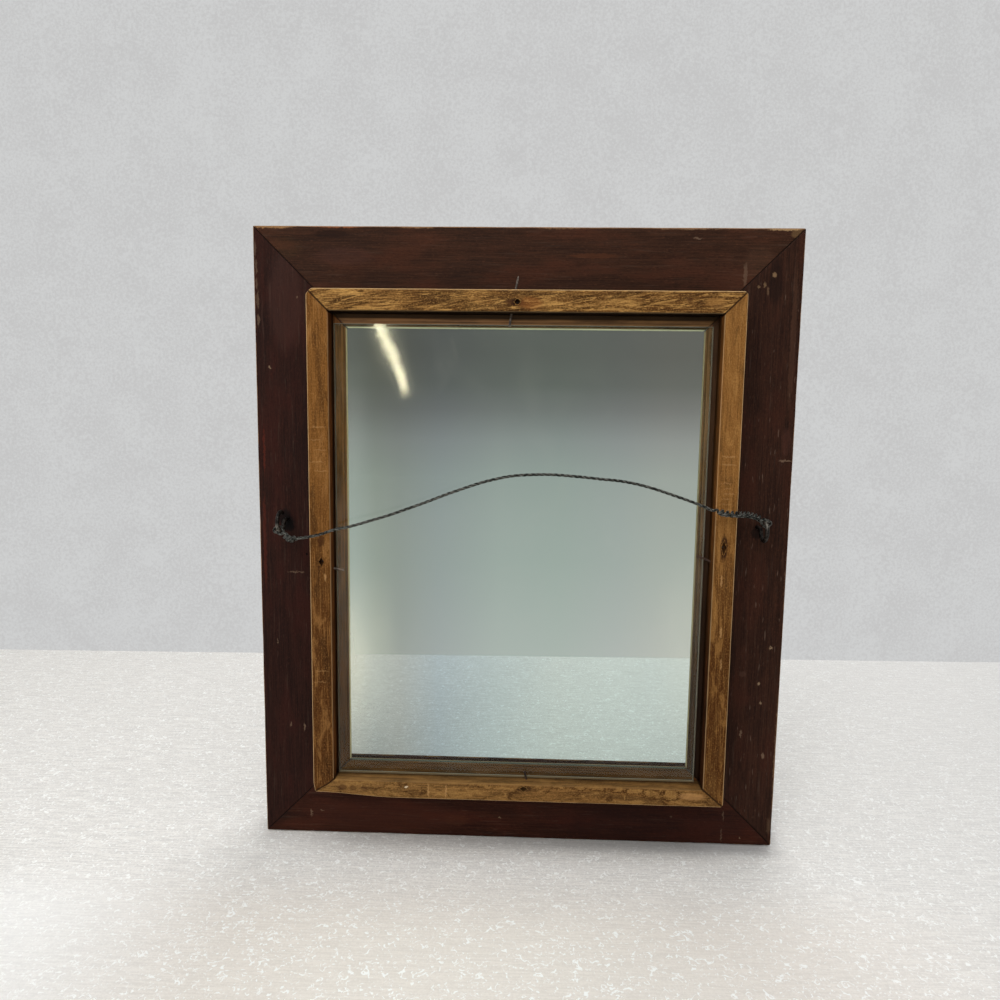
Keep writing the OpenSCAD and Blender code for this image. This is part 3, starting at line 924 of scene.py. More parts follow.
def old_glass():
    """Clear glass with a faint green tint, slow waves, fine dust and a few smears."""
    f = Finish("old_glass")
    place = f.place_mm()
    x, _, z = f.parts(place)
    rim, near = f.attribute("rim"), f.attribute("near_edge")
    film = f.noise(place, 0.02, 5, 0.6, 0.8)
    smear = f.noise(f.stretched(place, (0.05, 1, 0.018)), 1, 4, 0.6, 1.5)
    cells = f.node("TexVoronoi", {"Vector": place, "Scale": 0.16})
    dust = f.rise(film, 0.45, 0.75) * 0.01 + f.rise(smear, 0.58, 0.75) * 0.015
    dust = dust + f.rise(cells, 0.045, 0.03) * 0.15
    dust = dust + f.rise(near + film * 0.4, 0.95, 1.3) * 0.012
    in_sight = f.rise(f.distance(x), SIGHT_X + 0.5, SIGHT_X - 0.5)
    for middle, reach, share in BREATH:
        far = f.far(f.ragged(place, 0.12, (3, 0, 5)), middle, reach)
        dust = dust + f.rise(far, 1.0, 0.0) * (smear * 0.5 + 0.5) * in_sight * share
    waves = f.noise(f.stretched(place, (1, 1, 0.35)), 0.012, 2, 0.5)
    waves = waves + f.noise(f.stretched(place, (0.5, 1, 2)), 0.11, 3, 0.6) * 0.012
    clear = f.node("BsdfTransparent", {"Color": colour(GLASS_TINT)})
    mirror = f.node("BsdfPrincipled", {
        "Base Color": colour((255, 255, 255)), "Metallic": 1.0, "Roughness": 0.055,
        "Normal": f.bump(waves, 0.003, 0.5),
    })
    foot = lowest("glass_pane").z
    rim_tone = f.mix(f.rise(z, foot + 2, foot + 1), RIM_FOOT, RIM_TONE)
    film_skin = f.node("BsdfPrincipled", {
        "Base Color": f.mix(rim, FILM, rim_tone), "Roughness": 0.7,
        "Specular IOR Level": 0.2,
    })
    fresnel = f.node("Fresnel", {"IOR": 1.32})
    pane = f.blend(fresnel * f.facing(), clear, mirror)
    return f.close(f.blend(f.maths("MAXIMUM", dust, rim * 0.85), pane, film_skin))


# Sections, from the part's own measures: across from the outer side, then from front to back

BEVEL_T, BEVEL_FLARE, BEAD_R, QUIRK_D = 8, 4.3, 6.5, 5


def rail_outline():
    bead_mid, cove_front = RAIL_T - BEAD_R, RAIL_T - QUIRK_D
    quirk = math.degrees(math.asin((cove_front - bead_mid) / BEAD_R))
    cove_outer, cove_inner = 2 * BEAD_R + 1.2, RAIL_W - BEVEL_FLARE - 1
    back = rounded([
        (0, 0, 0.8), (RAIL_W, 0, 0.5), (RAIL_W - BEVEL_FLARE, -BEVEL_T, 0.5),
        (cove_inner, -BEVEL_T, 0), (BEAD_R, -bead_mid, 0),
    ])[:3 * (ROUND_STEPS + 1)]
    cove_size = (cove_inner - cove_outer, cove_front - BEVEL_T)
    cove = arc((cove_inner, -cove_front), cove_size, 90, 180, 18)
    bead = arc((BEAD_R, -bead_mid), (BEAD_R, BEAD_R), -quirk, -180, 18)
    return filled(back + cove + bead, 1.6)


def strip_outline(width):
    return filled(rounded([
        (0, 0, 0.2), (width, 0, 0.2), (width, STRIP_D, 0.6), (0, STRIP_D, 0.6),
    ]), 0.75)


SLIP_EDGE = 0.5


def slip_outline():
    return filled(rounded([
        (0, 0, 0.15), (SLIP_EDGE, 0, 0.2), (SLIP_W, SLIP_D - 0.8, 0.3),
        (SLIP_W - 0.8, SLIP_D, 0.3), (0, SLIP_D, 0.15),
    ]), 0.9)


# Nails, in millimetres from the middle of the rails' back: the middle of the head's top, then
# the way that it looks

NAIL_SET, CORNER_NAIL_SET = 2.6, 1.2
STRIP_NAILS = {
    side: Vector((x, STRIP_D - NAIL_SET, z)) for side, x, z in (
        ("top", 3.8, 134.4), ("bottom", -3.8, -133.6),
        ("left", 109.05, -5.8), ("right", -109.05, 6.2),
    )
}
# How far the rails' corner nails stand from the rail's ends, and their depth
SIDE_NAIL, CAP_NAIL = (14, -7), (18, -14)
BOX_NAIL_Y = STRIP_D / 2 - 5
STRIP_HOLE_R, CORNER_HOLE_R = 1.35, 1.4
# Half length, half width and depth of the wood torn open round each strip's nail
TORN = {
    "top": (2.6, 2.0, 0.9), "bottom": (3.6, 2.2, 1.0),
    "left": (3.9, 1.6, 1.4), "right": (5.6, 1.6, 1.7),
}
TORN_RIM = (
    (1, 0), (0.35, 0.75), (0, 1), (-0.45, 0.6), (-1, 0), (-0.3, -0.8), (0, -0.9), (0.5, -0.5),
)
HOLE_SIDES = 20


def rail_nails(side):
    """The two corner nails that are driven in from a rail's outer side."""
    span = SPAN["rail", side]
    level = side in ("top", "bottom")
    inset, depth = CAP_NAIL if level else SIDE_NAIL
    out = turned((0, 0, 1), SIDES[side])
    ends = (span.low + inset, span.high - inset)
    return [(turned((x, depth, span.out - CORNER_NAIL_SET), SIDES[side]), out) for x in ends]


def box_nails(side):
    """The two corner nails that are driven in through the top or the bottom strip."""
    if side not in ("top", "bottom"):
        return []
    span = SPAN["box_strip", side]
    out = turned((0, 0, 1), SIDES[side])
    height = math.copysign(span.out - CORNER_NAIL_SET, out.z)
    left, right = [SPAN["box_strip", other].across_middle() for other in ("left", "right")]
    return [(Vector((x, BOX_NAIL_Y, height)), out) for x in (left, -right)]


def hole(head, way, radius):
    """The hole above a set nail's head, as points and faces."""
    a, b = head - way * 0.05, head + way * (NAIL_SET + 1)
    way = (b - a).normalized()
    u = way.orthogonal().normalized()
    v = way.cross(u)
    turns = [2 * math.pi * k / HOLE_SIDES for k in range(HOLE_SIDES)]
    points = [placed(end + radius * spun(u, v, turn)) for end in (a, b) for turn in turns]
    return points, tube_faces(2, HOLE_SIDES)


def torn_wood(side):
    """The wedge of wood that is torn away along the grain round a strip's nail."""
    x, _, z = STRIP_NAILS[side]
    long, wide, deep = TORN[side]
    points = []
    for height, scale in ((STRIP_D + 1, 1.0), (STRIP_D - deep, 0.35)):
        for u, v in TORN_RIM:
            dx, dz = u * long * scale, v * wide * scale
            if side in ("left", "right"):
                dx, dz = dz, dx
            points.append(placed((x + dx, height, z + dz)))
    return points, tube_faces(2, len(TORN_RIM))


# Marks: along and across the side, half length and half width, colour and share

SCUFF, PINK, SPECK, OLIVE = (118, 96, 78), (84, 52, 44), (148, 124, 98), (64, 52, 30)
SHADE, PLUM, RED, EYE_STAIN_AND_SHADOW, WARM = (24, 13, 10), (26, 12, 13), (78, 32, 22), (10, 8, 8), (78, 44, 26)
RAIL_MARKS = {
    "top": [
        (108.6, 4.8, 12.5, 2.5, SHADE, 0.6), (101, 16.6, 20, 6, PINK, 0.2),
        (-37.6, 15.7, 17, 1.8, WARM, 0.5), (-94, 6.1, 3, 0.45, SCUFF, 0.5),
        (-120.6, 25.3, 1.4, 8, SCUFF, 0.3), (-147.3, 3.4, 4, 3, (104, 80, 52), 0.5),
        (-128, 18.4, 10, 11, (76, 54, 40), 0.2), (134, 12, 12, 7, OLIVE, 0.1),
        # The pale lines along the outer arris, under 1 mm across, are worn edge with a painted
        # highlight
        (140, 0.9, 14, 1.1, (150, 112, 72), 0.7), (104, 0.7, 20, 0.9, (150, 84, 50), 0.55),
        (60, 0.8, 12, 0.8, (128, 96, 66), 0.6), (-20, 0.8, 18, 0.8, (128, 96, 66), 0.5),
        (-90, 0.8, 26, 0.8, (120, 92, 66), 0.55), (-141, 0.9, 11, 1.1, (164, 134, 96), 0.7),
    ],
    "left": [
        (-139.7, 25.1, 0.6, 0.6, SPECK, 0.4), (-100.6, 8.3, 0.7, 0.7, SPECK, 0.5),
        (-166, 1.4, 5, 1.2, (104, 84, 70), 0.35), (-156, 1.8, 5, 0.9, SCUFF, 0.3),
        (-147, 2.0, 4, 0.8, SCUFF, 0.3), (-138, 2.4, 6, 1.0, SCUFF, 0.3),
        (-127, 2.4, 4, 0.9, SCUFF, 0.35), (-138, 17.9, 34, 12, (64, 40, 34), 0.4),
        (-53.6, 4, 17, 0.8, RED, 0.6), (-1.2, 3.3, 34, 1.3, RED, 0.45),
        # Dark patches round the left eye's foot: a stain, with the eye's shadow painted in
        (-10.9, 17, 5.5, 5, EYE_STAIN_AND_SHADOW, 0.9), (-14, 15.5, 7, 4.5, EYE_STAIN_AND_SHADOW, 0.8),
        (6.6, 27.7, 0.8, 0.8, (8, 5, 4), 0.9),
        (17.4, 21.3, 0.5, 6, SCUFF, 0.4), (112.1, 24.6, 3, 0.5, SCUFF, 0.6),
        (110.4, 16.3, 2, 0.5, SCUFF, 0.5), (59.3, 9.4, 2.4, 0.5, SCUFF, 0.5),
    ],
    "bottom": [
        (-124.5, 12.2, 0.6, 3, SCUFF, 0.6), (-118, 14.3, 1.6, 0.5, SCUFF, 0.6),
        (-36.5, 10.5, 9, 4.5, WARM, 0.2), (-9.9, 12.9, 0.7, 0.7, SPECK, 0.35),
        (122.6, 6.2, 0.5, 5, SCUFF, 0.45), (123.2, 18.2, 0.5, 4, SCUFF, 0.4),
        (133.3, 4.6, 0.9, 0.8, SPECK, 0.4), (92.4, 16.6, 0.8, 0.7, SPECK, 0.2),
        (80, 12, 80, 16, PLUM, 0.35), (-80, 12, 60, 14, (66, 34, 24), 0.35),
        (150, 16, 12, 16, SHADE, 0.4), (-146, 16, 10, 16, SHADE, 0.4),
    ],
    "right": [
        (149.8, 15.1, 15, 5, SHADE, 0.6), (153.5, 16.2, 1.5, 1.5, (122, 96, 70), 0.75),
        (148.2, 21, 1.4, 1.2, (112, 88, 64), 0.65), (145, 19.2, 2.4, 0.7, (104, 80, 60), 0.55),
        (147.1, 24.2, 1, 0.9, (112, 88, 64), 0.6), (118.7, 4.2, 48, 2, (70, 46, 34), 0.5),
        (51.8, 4.2, 0.5, 5, SCUFF, 0.55), (62.5, 4.8, 10, 3.4, PINK, 0.2),
        (-56.7, 6.9, 1, 1, SPECK, 0.6), (-78.4, 12.6, 1.1, 1.1, SPECK, 0.6),
        (-89.9, 10.9, 1, 1, SPECK, 0.5), (-122.3, 8, 2.3, 0.9, SCUFF, 0.6),
        (-72.7, 22.1, 2.3, 2.8, (70, 48, 38), 0.5), (-109.2, 21.5, 3.4, 0.7, SCUFF, 0.5),
        # The last mark on the next line is the stain round the right eye's foot, with the eye's
        # shadow painted in
        (-166, 2.4, 6, 1.6, (84, 64, 48), 0.45), (10.6, 18.2, 4.5, 4.5, EYE_STAIN_AND_SHADOW, 0.6),
        (-120, 0.8, 44, 0.8, (118, 92, 68), 0.5), (-20, 0.8, 30, 0.7, (92, 66, 48), 0.4),
    ],
}
RAIL_TONES = {
    "top": ((36, 20, 12), (62, 38, 26), (68, 37, 25), 0.45, 0.04),
    "left": ((27, 13, 10), (48, 26, 20), (50, 22, 18), 0.36, 0.06),
    "bottom": ((32, 14, 9), (56, 29, 19), (62, 27, 17), 0.24, 0.08),
    "right": ((29, 15, 10), (56, 33, 23), (54, 27, 19), 0.3, 0.3),
}
PALE, SMEAR, CHIP = (176, 136, 88), (62, 36, 20), (196, 176, 146)
STRIP_MARKS = {
    "top": [
        (6.1, 6.6, 4.4, 1.5, SMEAR, 0.8), (3.6, 6.4, 3.8, 2.1, (24, 13, 7), 0.95),
        (3.2, 6.9, 5, 2.8, (44, 24, 12), 0.6), (-2.8, 7, 8, 4, (128, 76, 36), 0.4),
        (-85.5, 4.8, 2.5, 1.5, SMEAR, 0.6), (-99, 6, 7, 3, (150, 108, 58), 0.5),
        (-100, 8, 4, 1.4, SMEAR, 0.5),
    ],
    "left": [
        (-67.9, 6, 0.5, 5, PALE, 0.25), (-60.9, 4, 0.5, 4, PALE, 0.2),
        (-55.5, 7, 0.4, 4, PALE, 0.25), (-49.1, 5, 0.5, 5, PALE, 0.2),
        (-44.2, 7, 0.4, 5, PALE, 0.22), (67.6, 6, 0.5, 5, PALE, 0.22),
        (74, 5, 0.5, 5, PALE, 0.2), (14.5, 8.5, 2.8, 0.6, PALE, 0.5),
        (-5.8, 6.4, 4.4, 2.4, (58, 32, 14), 0.75),
    ],
    "bottom": [
        (-99, 5, 3, 3, SMEAR, 0.55), (-93, 5, 2.4, 2.4, SMEAR, 0.5), (-86.5, 5, 2.4, 3, SMEAR, 0.5),
        (-62.3, 6.9, 1.2, 0.8, CHIP, 0.9), (-54, 5, 0.6, 5, SMEAR, 0.5),
        (-50, 5, 0.6, 5, PALE, 0.5), (-40, 5, 0.6, 5, PALE, 0.5),
        (4.1, 7.7, 4.8, 2.4, (46, 27, 15), 0.75), (98, 6, 9, 2.6, (176, 132, 84), 0.4),
    ],
    "right": [
        (55.1, 6, 0.5, 5, PALE, 0.3), (50.9, 6, 0.5, 5, PALE, 0.25),
        (-12.2, 7, 4, 0.7, PALE, 0.5), (-40.7, 6, 4, 0.6, PALE, 0.5),
        (-58.7, 5, 4, 0.6, PALE, 0.45), (6.2, 6.4, 8.4, 2.3, (38, 20, 11), 0.9),
    ] + [(27 + 2.8 * i, 6 + (i % 3 - 1), 0.4, 3 + i % 2, PALE, 0.2) for i in range(6)],
}
# Curled grain on the strips: along, across, half length, half width and share
CURLS = {"bottom": [
    (24, 9.2, 5, 1.3, 0.7), (35, 8.8, 4, 1.7, 0.8), (45, 9.3, 6, 1.3, 0.8),
    (57, 8.8, 4.4, 2.0, 0.8), (66, 8.4, 5, 2.0, 0.85), (76, 7.4, 6, 3.0, 0.85),
    (86, 6.8, 5.4, 3.4, 0.9), (80, 5.4, 3, 1.6, 0.6), (12, 9, 4, 1.2, 0.5),
    (-18, 8.6, 6, 1.3, 0.5), (-70, 7, 4, 2, 0.5),
]}
# Each strip's inner wall tones (inner) are painted light and shade for that side: near black on the
# top strip's wall, which faces down, and lighter on the others
STRIP_TONES = {
    "top": dict(
        low=(88, 56, 25), high=(108, 74, 37), dark=(46, 25, 8), light=(186, 142, 80),
        strokes=0.75, saw=0.0, curls=0.1,
        inner=((16, 6, 2), (16, 6, 2)), inner_smooth=0.97, inner_pale=0.15),
    "left": dict(
        low=(112, 73, 32), high=(69, 39, 13), dark=(60, 34, 12), light=(146, 104, 58),
        strokes=0.08, saw=0.1, curls=0.08,
        inner=((84, 46, 18), (86, 50, 22)), inner_smooth=0.92, inner_pale=0.3),
    "bottom": dict(
        low=(116, 84, 46), high=(108, 75, 39), dark=(54, 31, 11), light=(152, 114, 64),
        strokes=0.22, saw=0.06, curls=0.75,
        inner=((114, 84, 48), (110, 80, 44)), inner_smooth=0.7, inner_pale=0.05),
    "right": dict(
        low=(63, 34, 10), high=(124, 84, 41), dark=(66, 38, 14), light=(150, 108, 58),
        strokes=0.12, saw=0.08, curls=0.08,
        inner=((54, 27, 11), (98, 60, 26)), inner_smooth=0.92, inner_pale=0.35),
}
# Brown of each slip at its low and its high end, its sight edge with the painted light on it, how
# plain its fillets are, and the width and share of the painted shadow that the strip casts along
# the slip
SLIP_TONES = {
    "top": ((106, 77, 48), (118, 85, 56), (240, 228, 190), 0.8, 2.4, 0.9),
    "left": ((122, 78, 42), (88, 52, 27), (200, 176, 136), 0.5, 1.2, 0.5),
    "bottom": ((94, 58, 28), (88, 54, 26), (80, 84, 76), 0.3, 0.1, 0.1),
    "right": ((66, 40, 22), (122, 83, 52), (170, 148, 116), 0.5, 3.6, 0.9),
}
FOOT = {side: SPAN["rail", side].out - SPAN["box_strip", side].out for side in SIDES}


def make_boards():
    rail, slip = rail_outline(), slip_outline()
    for side in SIDES:
        piece = Board("rail", side, rail, wear=0.28, rough=0.05, step=1.5).build()
        cut(piece, [hole(head, way, CORNER_HOLE_R) for head, way in rail_nails(side)])
        slot = "walnut_stain_worn" if side == "top" else "walnut_stain"
        finish_piece(piece, slot, stained_wood(side, *RAIL_TONES[side]), side + "_rail")

        strip = strip_outline(SPAN["box_strip", side].width)
        piece = Board("box_strip", side, strip, wear=0.32, rough=0.12, step=0.9).build()
        cut(piece, [torn_wood(side)])
        holes = [hole(head, way, CORNER_HOLE_R) for head, way in box_nails(side)]
        cut(piece, holes + [hole(STRIP_NAILS[side], Vector((0, 1, 0)), STRIP_HOLE_R)])
        wood = sawn_wood(side, **STRIP_TONES[side])
        finish_piece(piece, "sawn_strip", wood, side + "_box_strip")

        piece = Board("slip", side, slip, wear=0.12, rough=0.03, step=1.8).build()
        finish_piece(piece, "gilt_slip", gilt_slip(side, *SLIP_TONES[side]), side + "_slip")


PANE_SOFT, PANE_WAVE, NEAR_EDGE = 0.25, 0.03, 14
PANE_COLUMNS, PANE_ROWS = 60, 74


def pane_places(low, high, count):
    """Places over the pane, with one more just inside each edge."""
    even = [low + (high - low) * i / count for i in range(1, count)]
    return [low, low + PANE_SOFT, *even, high - PANE_SOFT, high]


def make_pane():
    """The pane, as a slab with softened edges and faint waves of old glass."""
    low, high = lowest("glass_pane"), highest("glass_pane")
    xs = pane_places(low.x, high.x, PANE_COLUMNS)
    zs = pane_places(low.z, high.z, PANE_ROWS)
    points, rim, near = [], [], []
    for face_y, sign in ((high.y, -1), (low.y, 1)):
        for x, z in [(x, z) for z in zs for x in xs]:
            edge = min(x - low.x, high.x - x, z - low.z, high.z - z)
            wave = PANE_WAVE * (lump(x, face_y, z, 70, 2) + lump(x, 0, z, 34, 4) * 0.3)
            inward = PANE_SOFT * (1 - min(edge, PANE_SOFT) / PANE_SOFT) + wave
            points.append(Vector((x, face_y + sign * inward, z)) * MM)
            rim.append(1.0 if edge < PANE_SOFT * 0.9 else 0.0)
            near.append(max(0.0, 1 - edge / NEAR_EDGE))
    w, h = len(xs), len(zs)
    faces = []
    for start in [layer * w * h + j * w for layer in range(2) for j in range(h - 1)]:
        faces += [(a, a + 1, a + w + 1, a + w) for a in range(start, start + w - 1)]
    border = [j * w for j in range(h)] + [(h - 1) * w + i for i in range(1, w)]
    border += [j * w + w - 1 for j in range(h - 2, -1, -1)] + list(range(w - 2, 0, -1))
    faces += [(a, b, b + w * h, a + w * h) for a, b in zip(border, border[1:] + border[:1])]
    mesh = mesh_from("pane", points, faces, 30, rim=rim, near_edge=near)
    finish_piece(link("pane", mesh), "pane", old_glass(), "glass_pane")


def swept_bar(name, line, radius, sides, rubbed=lambda p: 0.0):
    """A round bar along a line in millimetres, with a radius for each place and turn."""
    points, marks = [], []
    for i, (p, (_, a, b)) in enumerate(zip(line, line_frames(line))):
        for k in range(sides):
            turn = 2 * math.pi * k / sides
            points.append(placed(p + radius(i, turn) * spun(a, b, turn)))
            marks.append(rubbed(p))
    mesh = mesh_from(name, points, tube_faces(len(line), sides), 40, rubbed=marks)
    return link(name, mesh)


EYE_SCREW_L, EYE_NECK, THREAD_PITCH, THREAD_DEPTH = 11, 1.2, 1.3, 0.28
RING_BEND, RING_ARC, RING_STEP, SHANK_STEP, EYE_STEP = 14, 318, 4, 0.1, 0.22


def make_eye(side, worn_at):
    """A screw eye: a threaded shank that bends into an open ring, with a rounded end."""
    radius = EYE_WIRE_D / 2
    count = int((EYE_SCREW_L + EYE_OUT - EYE_RING_R - EYE_NECK) / SHANK_STEP)
    line = [Vector((EYE_X[side], i * SHANK_STEP - EYE_SCREW_L, EYE_UP)) for i in range(count)]
    line += [on_ring(side, 180 + turn) for turn in range(RING_BEND, RING_ARC + 1, RING_STEP)]
    line = even_line(smooth_line(line, 0.3), EYE_STEP)
    shank = sum(1 for p in line if p.y < -0.4 and abs(p.z - EYE_UP) < 0.3)

    def thick(i, turn):
        p = line[i]
        if i < shank:
            y = p.y + EYE_SCREW_L
            phase = (y / THREAD_PITCH + turn / (2 * math.pi)) % 1
            ridge = max(0.0, 1 - abs(phase - 0.5) * 4)
            return (radius - THREAD_DEPTH + THREAD_DEPTH * ridge) * min(1, 0.25 + y / 3.5)
        grit = 1 - 0.02 * lump(p.x, p.y, p.z, 1.2, 6)
        end = (len(line) - 1 - i) * EYE_STEP
        return radius * grit * math.sqrt(max(0.04, 1 - max(0, 1 - end / radius) ** 2))

    spot = on_ring(side, worn_at)
    piece = swept_bar(side + "_eye", line, thick, 18, lambda p: max(0.0, 1 - (p - spot).length / 4))
    finish_piece(piece, "eye_steel", EYE_STEEL, side + "_screw_eye")


BRAD_D, BRAD_STEPS = 1.3, 40


def make_brad(side, inner, outer, bend, metal):
    """A brad with a small head, a slight bend and a drawn point."""
    a, b = Vector(inner), Vector(outer)
    along = [i / BRAD_STEPS for i in range(BRAD_STEPS + 1)]
    line = [a.lerp(b, share) + Vector(bend) * math.sin(math.pi * share) for share in along]
    shares = [1] * 3 + [0.94] * (BRAD_STEPS - 5) + [0.85, 0.6, 0.3]
    piece = swept_bar(side + "_pin", line, lambda i, turn: BRAD_D / 2 * shares[i], 12)
    finish_piece(piece, "brad_steel", metal, side + "_brad")


def wire_piece(name, route, node):
    piece = link(name, strand_mesh(name, route))
    return finish_piece(piece, "wire_steel", WIRE_STEEL, node, body="hanging_wire")


def make_wire():
    free = smooth_line(WIRE_ROUTE, 1.0)
    wire = wire_piece("picture_wire_strands", free, "picture_wire")
    ends = [
        wire_piece(side + "_tie_strands", tie_route(side, *route), side + "_wire_tie")
        for side, route in (
            ("left", (-38, 42, 3, (6, 9), WIRE_ROUTE[0], WIRE_ROUTE[1])),
            ("right", (50, 40, 6, (16, 14), WIRE_ROUTE[-1], WIRE_ROUTE[-2])),
        )
    ]
    path = [placed(p) for p in even_line(free, 1.0)]


# The nails, which repeat: a tree that turns each point into a nail

NAIL_RINGS, NAIL_SIDES = 120, 16
NAIL_HEAD_R, NAIL_HEAD_T, NAIL_POINT_L, NAIL_DOME = 1.3, 1, 3, 0.5
NAIL_INPUTS = {
    "Head radius": "Float", "Shank radius": "Float", "Length": "Float",
    "Head thickness": "Float", "Point length": "Float", "Dome": "Float", "Seed": "Int",
}


def nail_tree(material):
    """A nail with a flat, slightly domed head, a straight shank and a drawn point, at each point
    of a mesh; the attribute "way" says where its head looks."""
    g = Shape("nail", NAIL_INPUTS)
    foot = g.joined(0, 0, 0 - g["Length"])
    line = g.node("GeometryNodeCurvePrimitiveLine", {"Start": (0, 0, 0), "End": foot})
    sockets = {"Curve": line, "Count": NAIL_RINGS}
    line = g.node("GeometryNodeResampleCurve", sockets, mode="COUNT")
    down = g.node("GeometryNodeSplineParameter", out="Length")
    head = g["Head radius"] * g.maths("SQRT", g.clamped(down / g["Dome"] + 0.12))
    point = g["Shank radius"] * g.clamped((g["Length"] - down) / g["Point length"] + 0.15)
    sockets = {0: down, 1: g["Head thickness"]}
    is_head = g.node("FunctionNodeCompare", sockets, data_type="FLOAT", operation="LESS_THAN")
    sockets = {"Switch": is_head, "False": point, "True": head}
    radius = g.node("GeometryNodeSwitch", sockets, input_type="FLOAT")
    ring = g.node("GeometryNodeCurvePrimitiveCircle", {"Resolution": NAIL_SIDES, "Radius": 1.0})
    line = g.node("GeometryNodeSetCurveRadius", {"Curve": line, "Radius": radius})
    sockets = {"Curve": line, "Profile Curve": ring, "Scale": radius, "Fill Caps": True}
    nail = g.node("GeometryNodeCurveToMesh", sockets)
    way = g.node("GeometryNodeInputNamedAttribute", {"Name": "way"}, data_type="FLOAT_VECTOR")
    sockets = {2: 0.0, 3: 2 * math.pi, "Seed": g["Seed"]}
    spin = g.node("FunctionNodeRandomValue", sockets, 1, data_type="FLOAT")
    facing = g.node("FunctionNodeAlignRotationToVector", {"Vector": way}, axis="Z")
    turn = g.node("FunctionNodeAxisAngleToRotation", {"Axis": (0, 0, 1), "Angle": spin})
    sockets = {"Rotation": facing, "Rotate By": turn}
    facing = g.node("FunctionNodeRotateRotation", sockets, rotation_space="LOCAL")
    sockets = {"Points": g["Geometry"], "Instance": nail, "Rotation": facing}
    nails = g.node("GeometryNodeInstanceOnPoints", sockets)
    return g.shut(g.node("GeometryNodeRealizeInstances", {"Geometry": nails}), material)


def make_nails():
    tree = nail_tree(NAIL_STEEL)
    strips = [(head, Vector((0, 1, 0))) for head in STRIP_NAILS.values()]
    corners = [nail for side in SIDES for nail in rail_nails(side)]
    boxes = [nail for side in SIDES for nail in box_nails(side)]
    kinds = (
        ("strip_nails", strips, 1.0, STRIP_D - NAIL_SET + 5.5),
        ("rail_corner_nails", corners, 0.9, 32), ("box_corner_nails", boxes, 0.9, 22),
    )
    for number, (node, nails, shank_r, long) in enumerate(kinds):
        name = node + "_driven"
        points = bpy.data.meshes.new(name)
        points.from_pydata([placed(head) for head, _ in nails], [], [])
        keep(points, "way", [tuple(way) for _, way in nails])
        sizes = {
            "Head radius": NAIL_HEAD_R * MM, "Head thickness": NAIL_HEAD_T * MM,
            "Shank radius": shank_r * MM, "Length": long * MM,
            "Point length": NAIL_POINT_L * MM, "Dome": NAIL_DOME * MM, "Seed": number,
        }
        finish_piece(shaped(name, points, tree, sizes), "nail_steel", NAIL_STEEL, node)


WIRE_STEEL = steel("wire_steel", (28, 30, 28), (108, 108, 102), (52, 46, 40), 0.36, lay=True)
EYE_STEEL = steel(
    "eye_steel", (26, 24, 23), (58, 54, 50), (48, 35, 28), 0.42, rubbed=(186, 180, 168)
)
BRAD_STEEL = steel("brad_steel", (60, 52, 46), (120, 108, 96), (100, 72, 52), 0.42, bright=0.4)
RUSTY_BRAD = steel("rusty_brad", (30, 20, 15), (72, 51, 38), (60, 34, 21), 0.6, bright=0.3)
NAIL_STEEL = steel("nail_steel", (24, 20, 18), (58, 52, 47), (56, 36, 25), 0.55)

make_wire()
make_boards()
make_pane()
make_eye("left", -38)
make_eye("right", 50)
make_brad("top", (7.9, 19.9, 122.5), (3.6, 14.2, 149.5), (0.2, 0, 0), BRAD_STEEL)
make_brad("bottom", (-4.2, 19.2, -126.2), (-7.7, 20, -139.6), (0.15, 0, 0), RUSTY_BRAD)
make_brad("left", (98.15, 19.2, -11.5), (112.35, 20, -9.6), (0, 0, 0.15), BRAD_STEEL)
make_brad("right", (-96.15, 19.2, 0.6), (-112.35, 20, -6.6), (0, 0, 0.2), RUSTY_BRAD)
make_nails()


# The stage

FLOOR_GAP = 0.0003
FLOOR_Z = lowest("bottom_rail").z * MM - FLOOR_GAP
# The wall stands a little turned: how far it comes nearer towards the left
WALL_Y, WALL_TURN = -0.369, 0.033
# What shows through the pane, a painted shade on the wall: heights on the wall in metres, then
# colours, from below
BEHIND_LOW, BEHIND_HIGH = -0.314, 0.024
BEHIND_SHADE_TONES = [
    (0.0, (208, 207, 200)), (0.3, (189, 193, 185)), (0.56, (181, 184, 177)),
    (0.67, (167, 167, 163)), (0.765, (139, 137, 133)), (0.84, (121, 120, 114)),
    (0.93, (114, 112, 106)),
]
# The painted shade of the wall and of the floor through the pane, from the frame's left side to its
# right
SEEN_X = 0.1417
WALL_SHADES = [
    (0.174, (238, 238, 238)), (0.217, (222, 221, 218)), (0.26, (217, 215, 216)),
    (0.339, (224, 224, 232)), (0.458, (238, 240, 243)), (0.576, (238, 241, 243)),
    (0.694, (246, 243, 248)), (0.773, (255, 248, 250)),
]
FLOOR_SHADES = [
    (0.063, (255, 255, 255)), (0.174, (235, 230, 227)), (0.211, (224, 222, 222)),
    (0.26, (226, 222, 222)), (0.339, (221, 226, 237)), (0.458, (238, 242, 247)),
    (0.576, (252, 252, 252)), (0.694, (255, 255, 255)),
]


def shade_across(f, x, y, shades):
    """A shade by how far across the frame a point is seen."""
    slant = (x - CAMERA_PLACE.x) / (CAMERA_PLACE.y - y)
    away = CAMERA_PLACE.y - highest("glass_pane").y * MM
    left, right = (SEEN_X - CAMERA_PLACE.x) / away, (-SEEN_X - CAMERA_PLACE.x) / away
    return f.ramp((slant - left) / (right - left), shades)


def stage_plane(name, corners, material):
    mesh = bpy.data.meshes.new(name)
    mesh.from_pydata(corners, [], [(0, 1, 2, 3)])
    plane = link(name, mesh)
    mesh.materials.append(material)


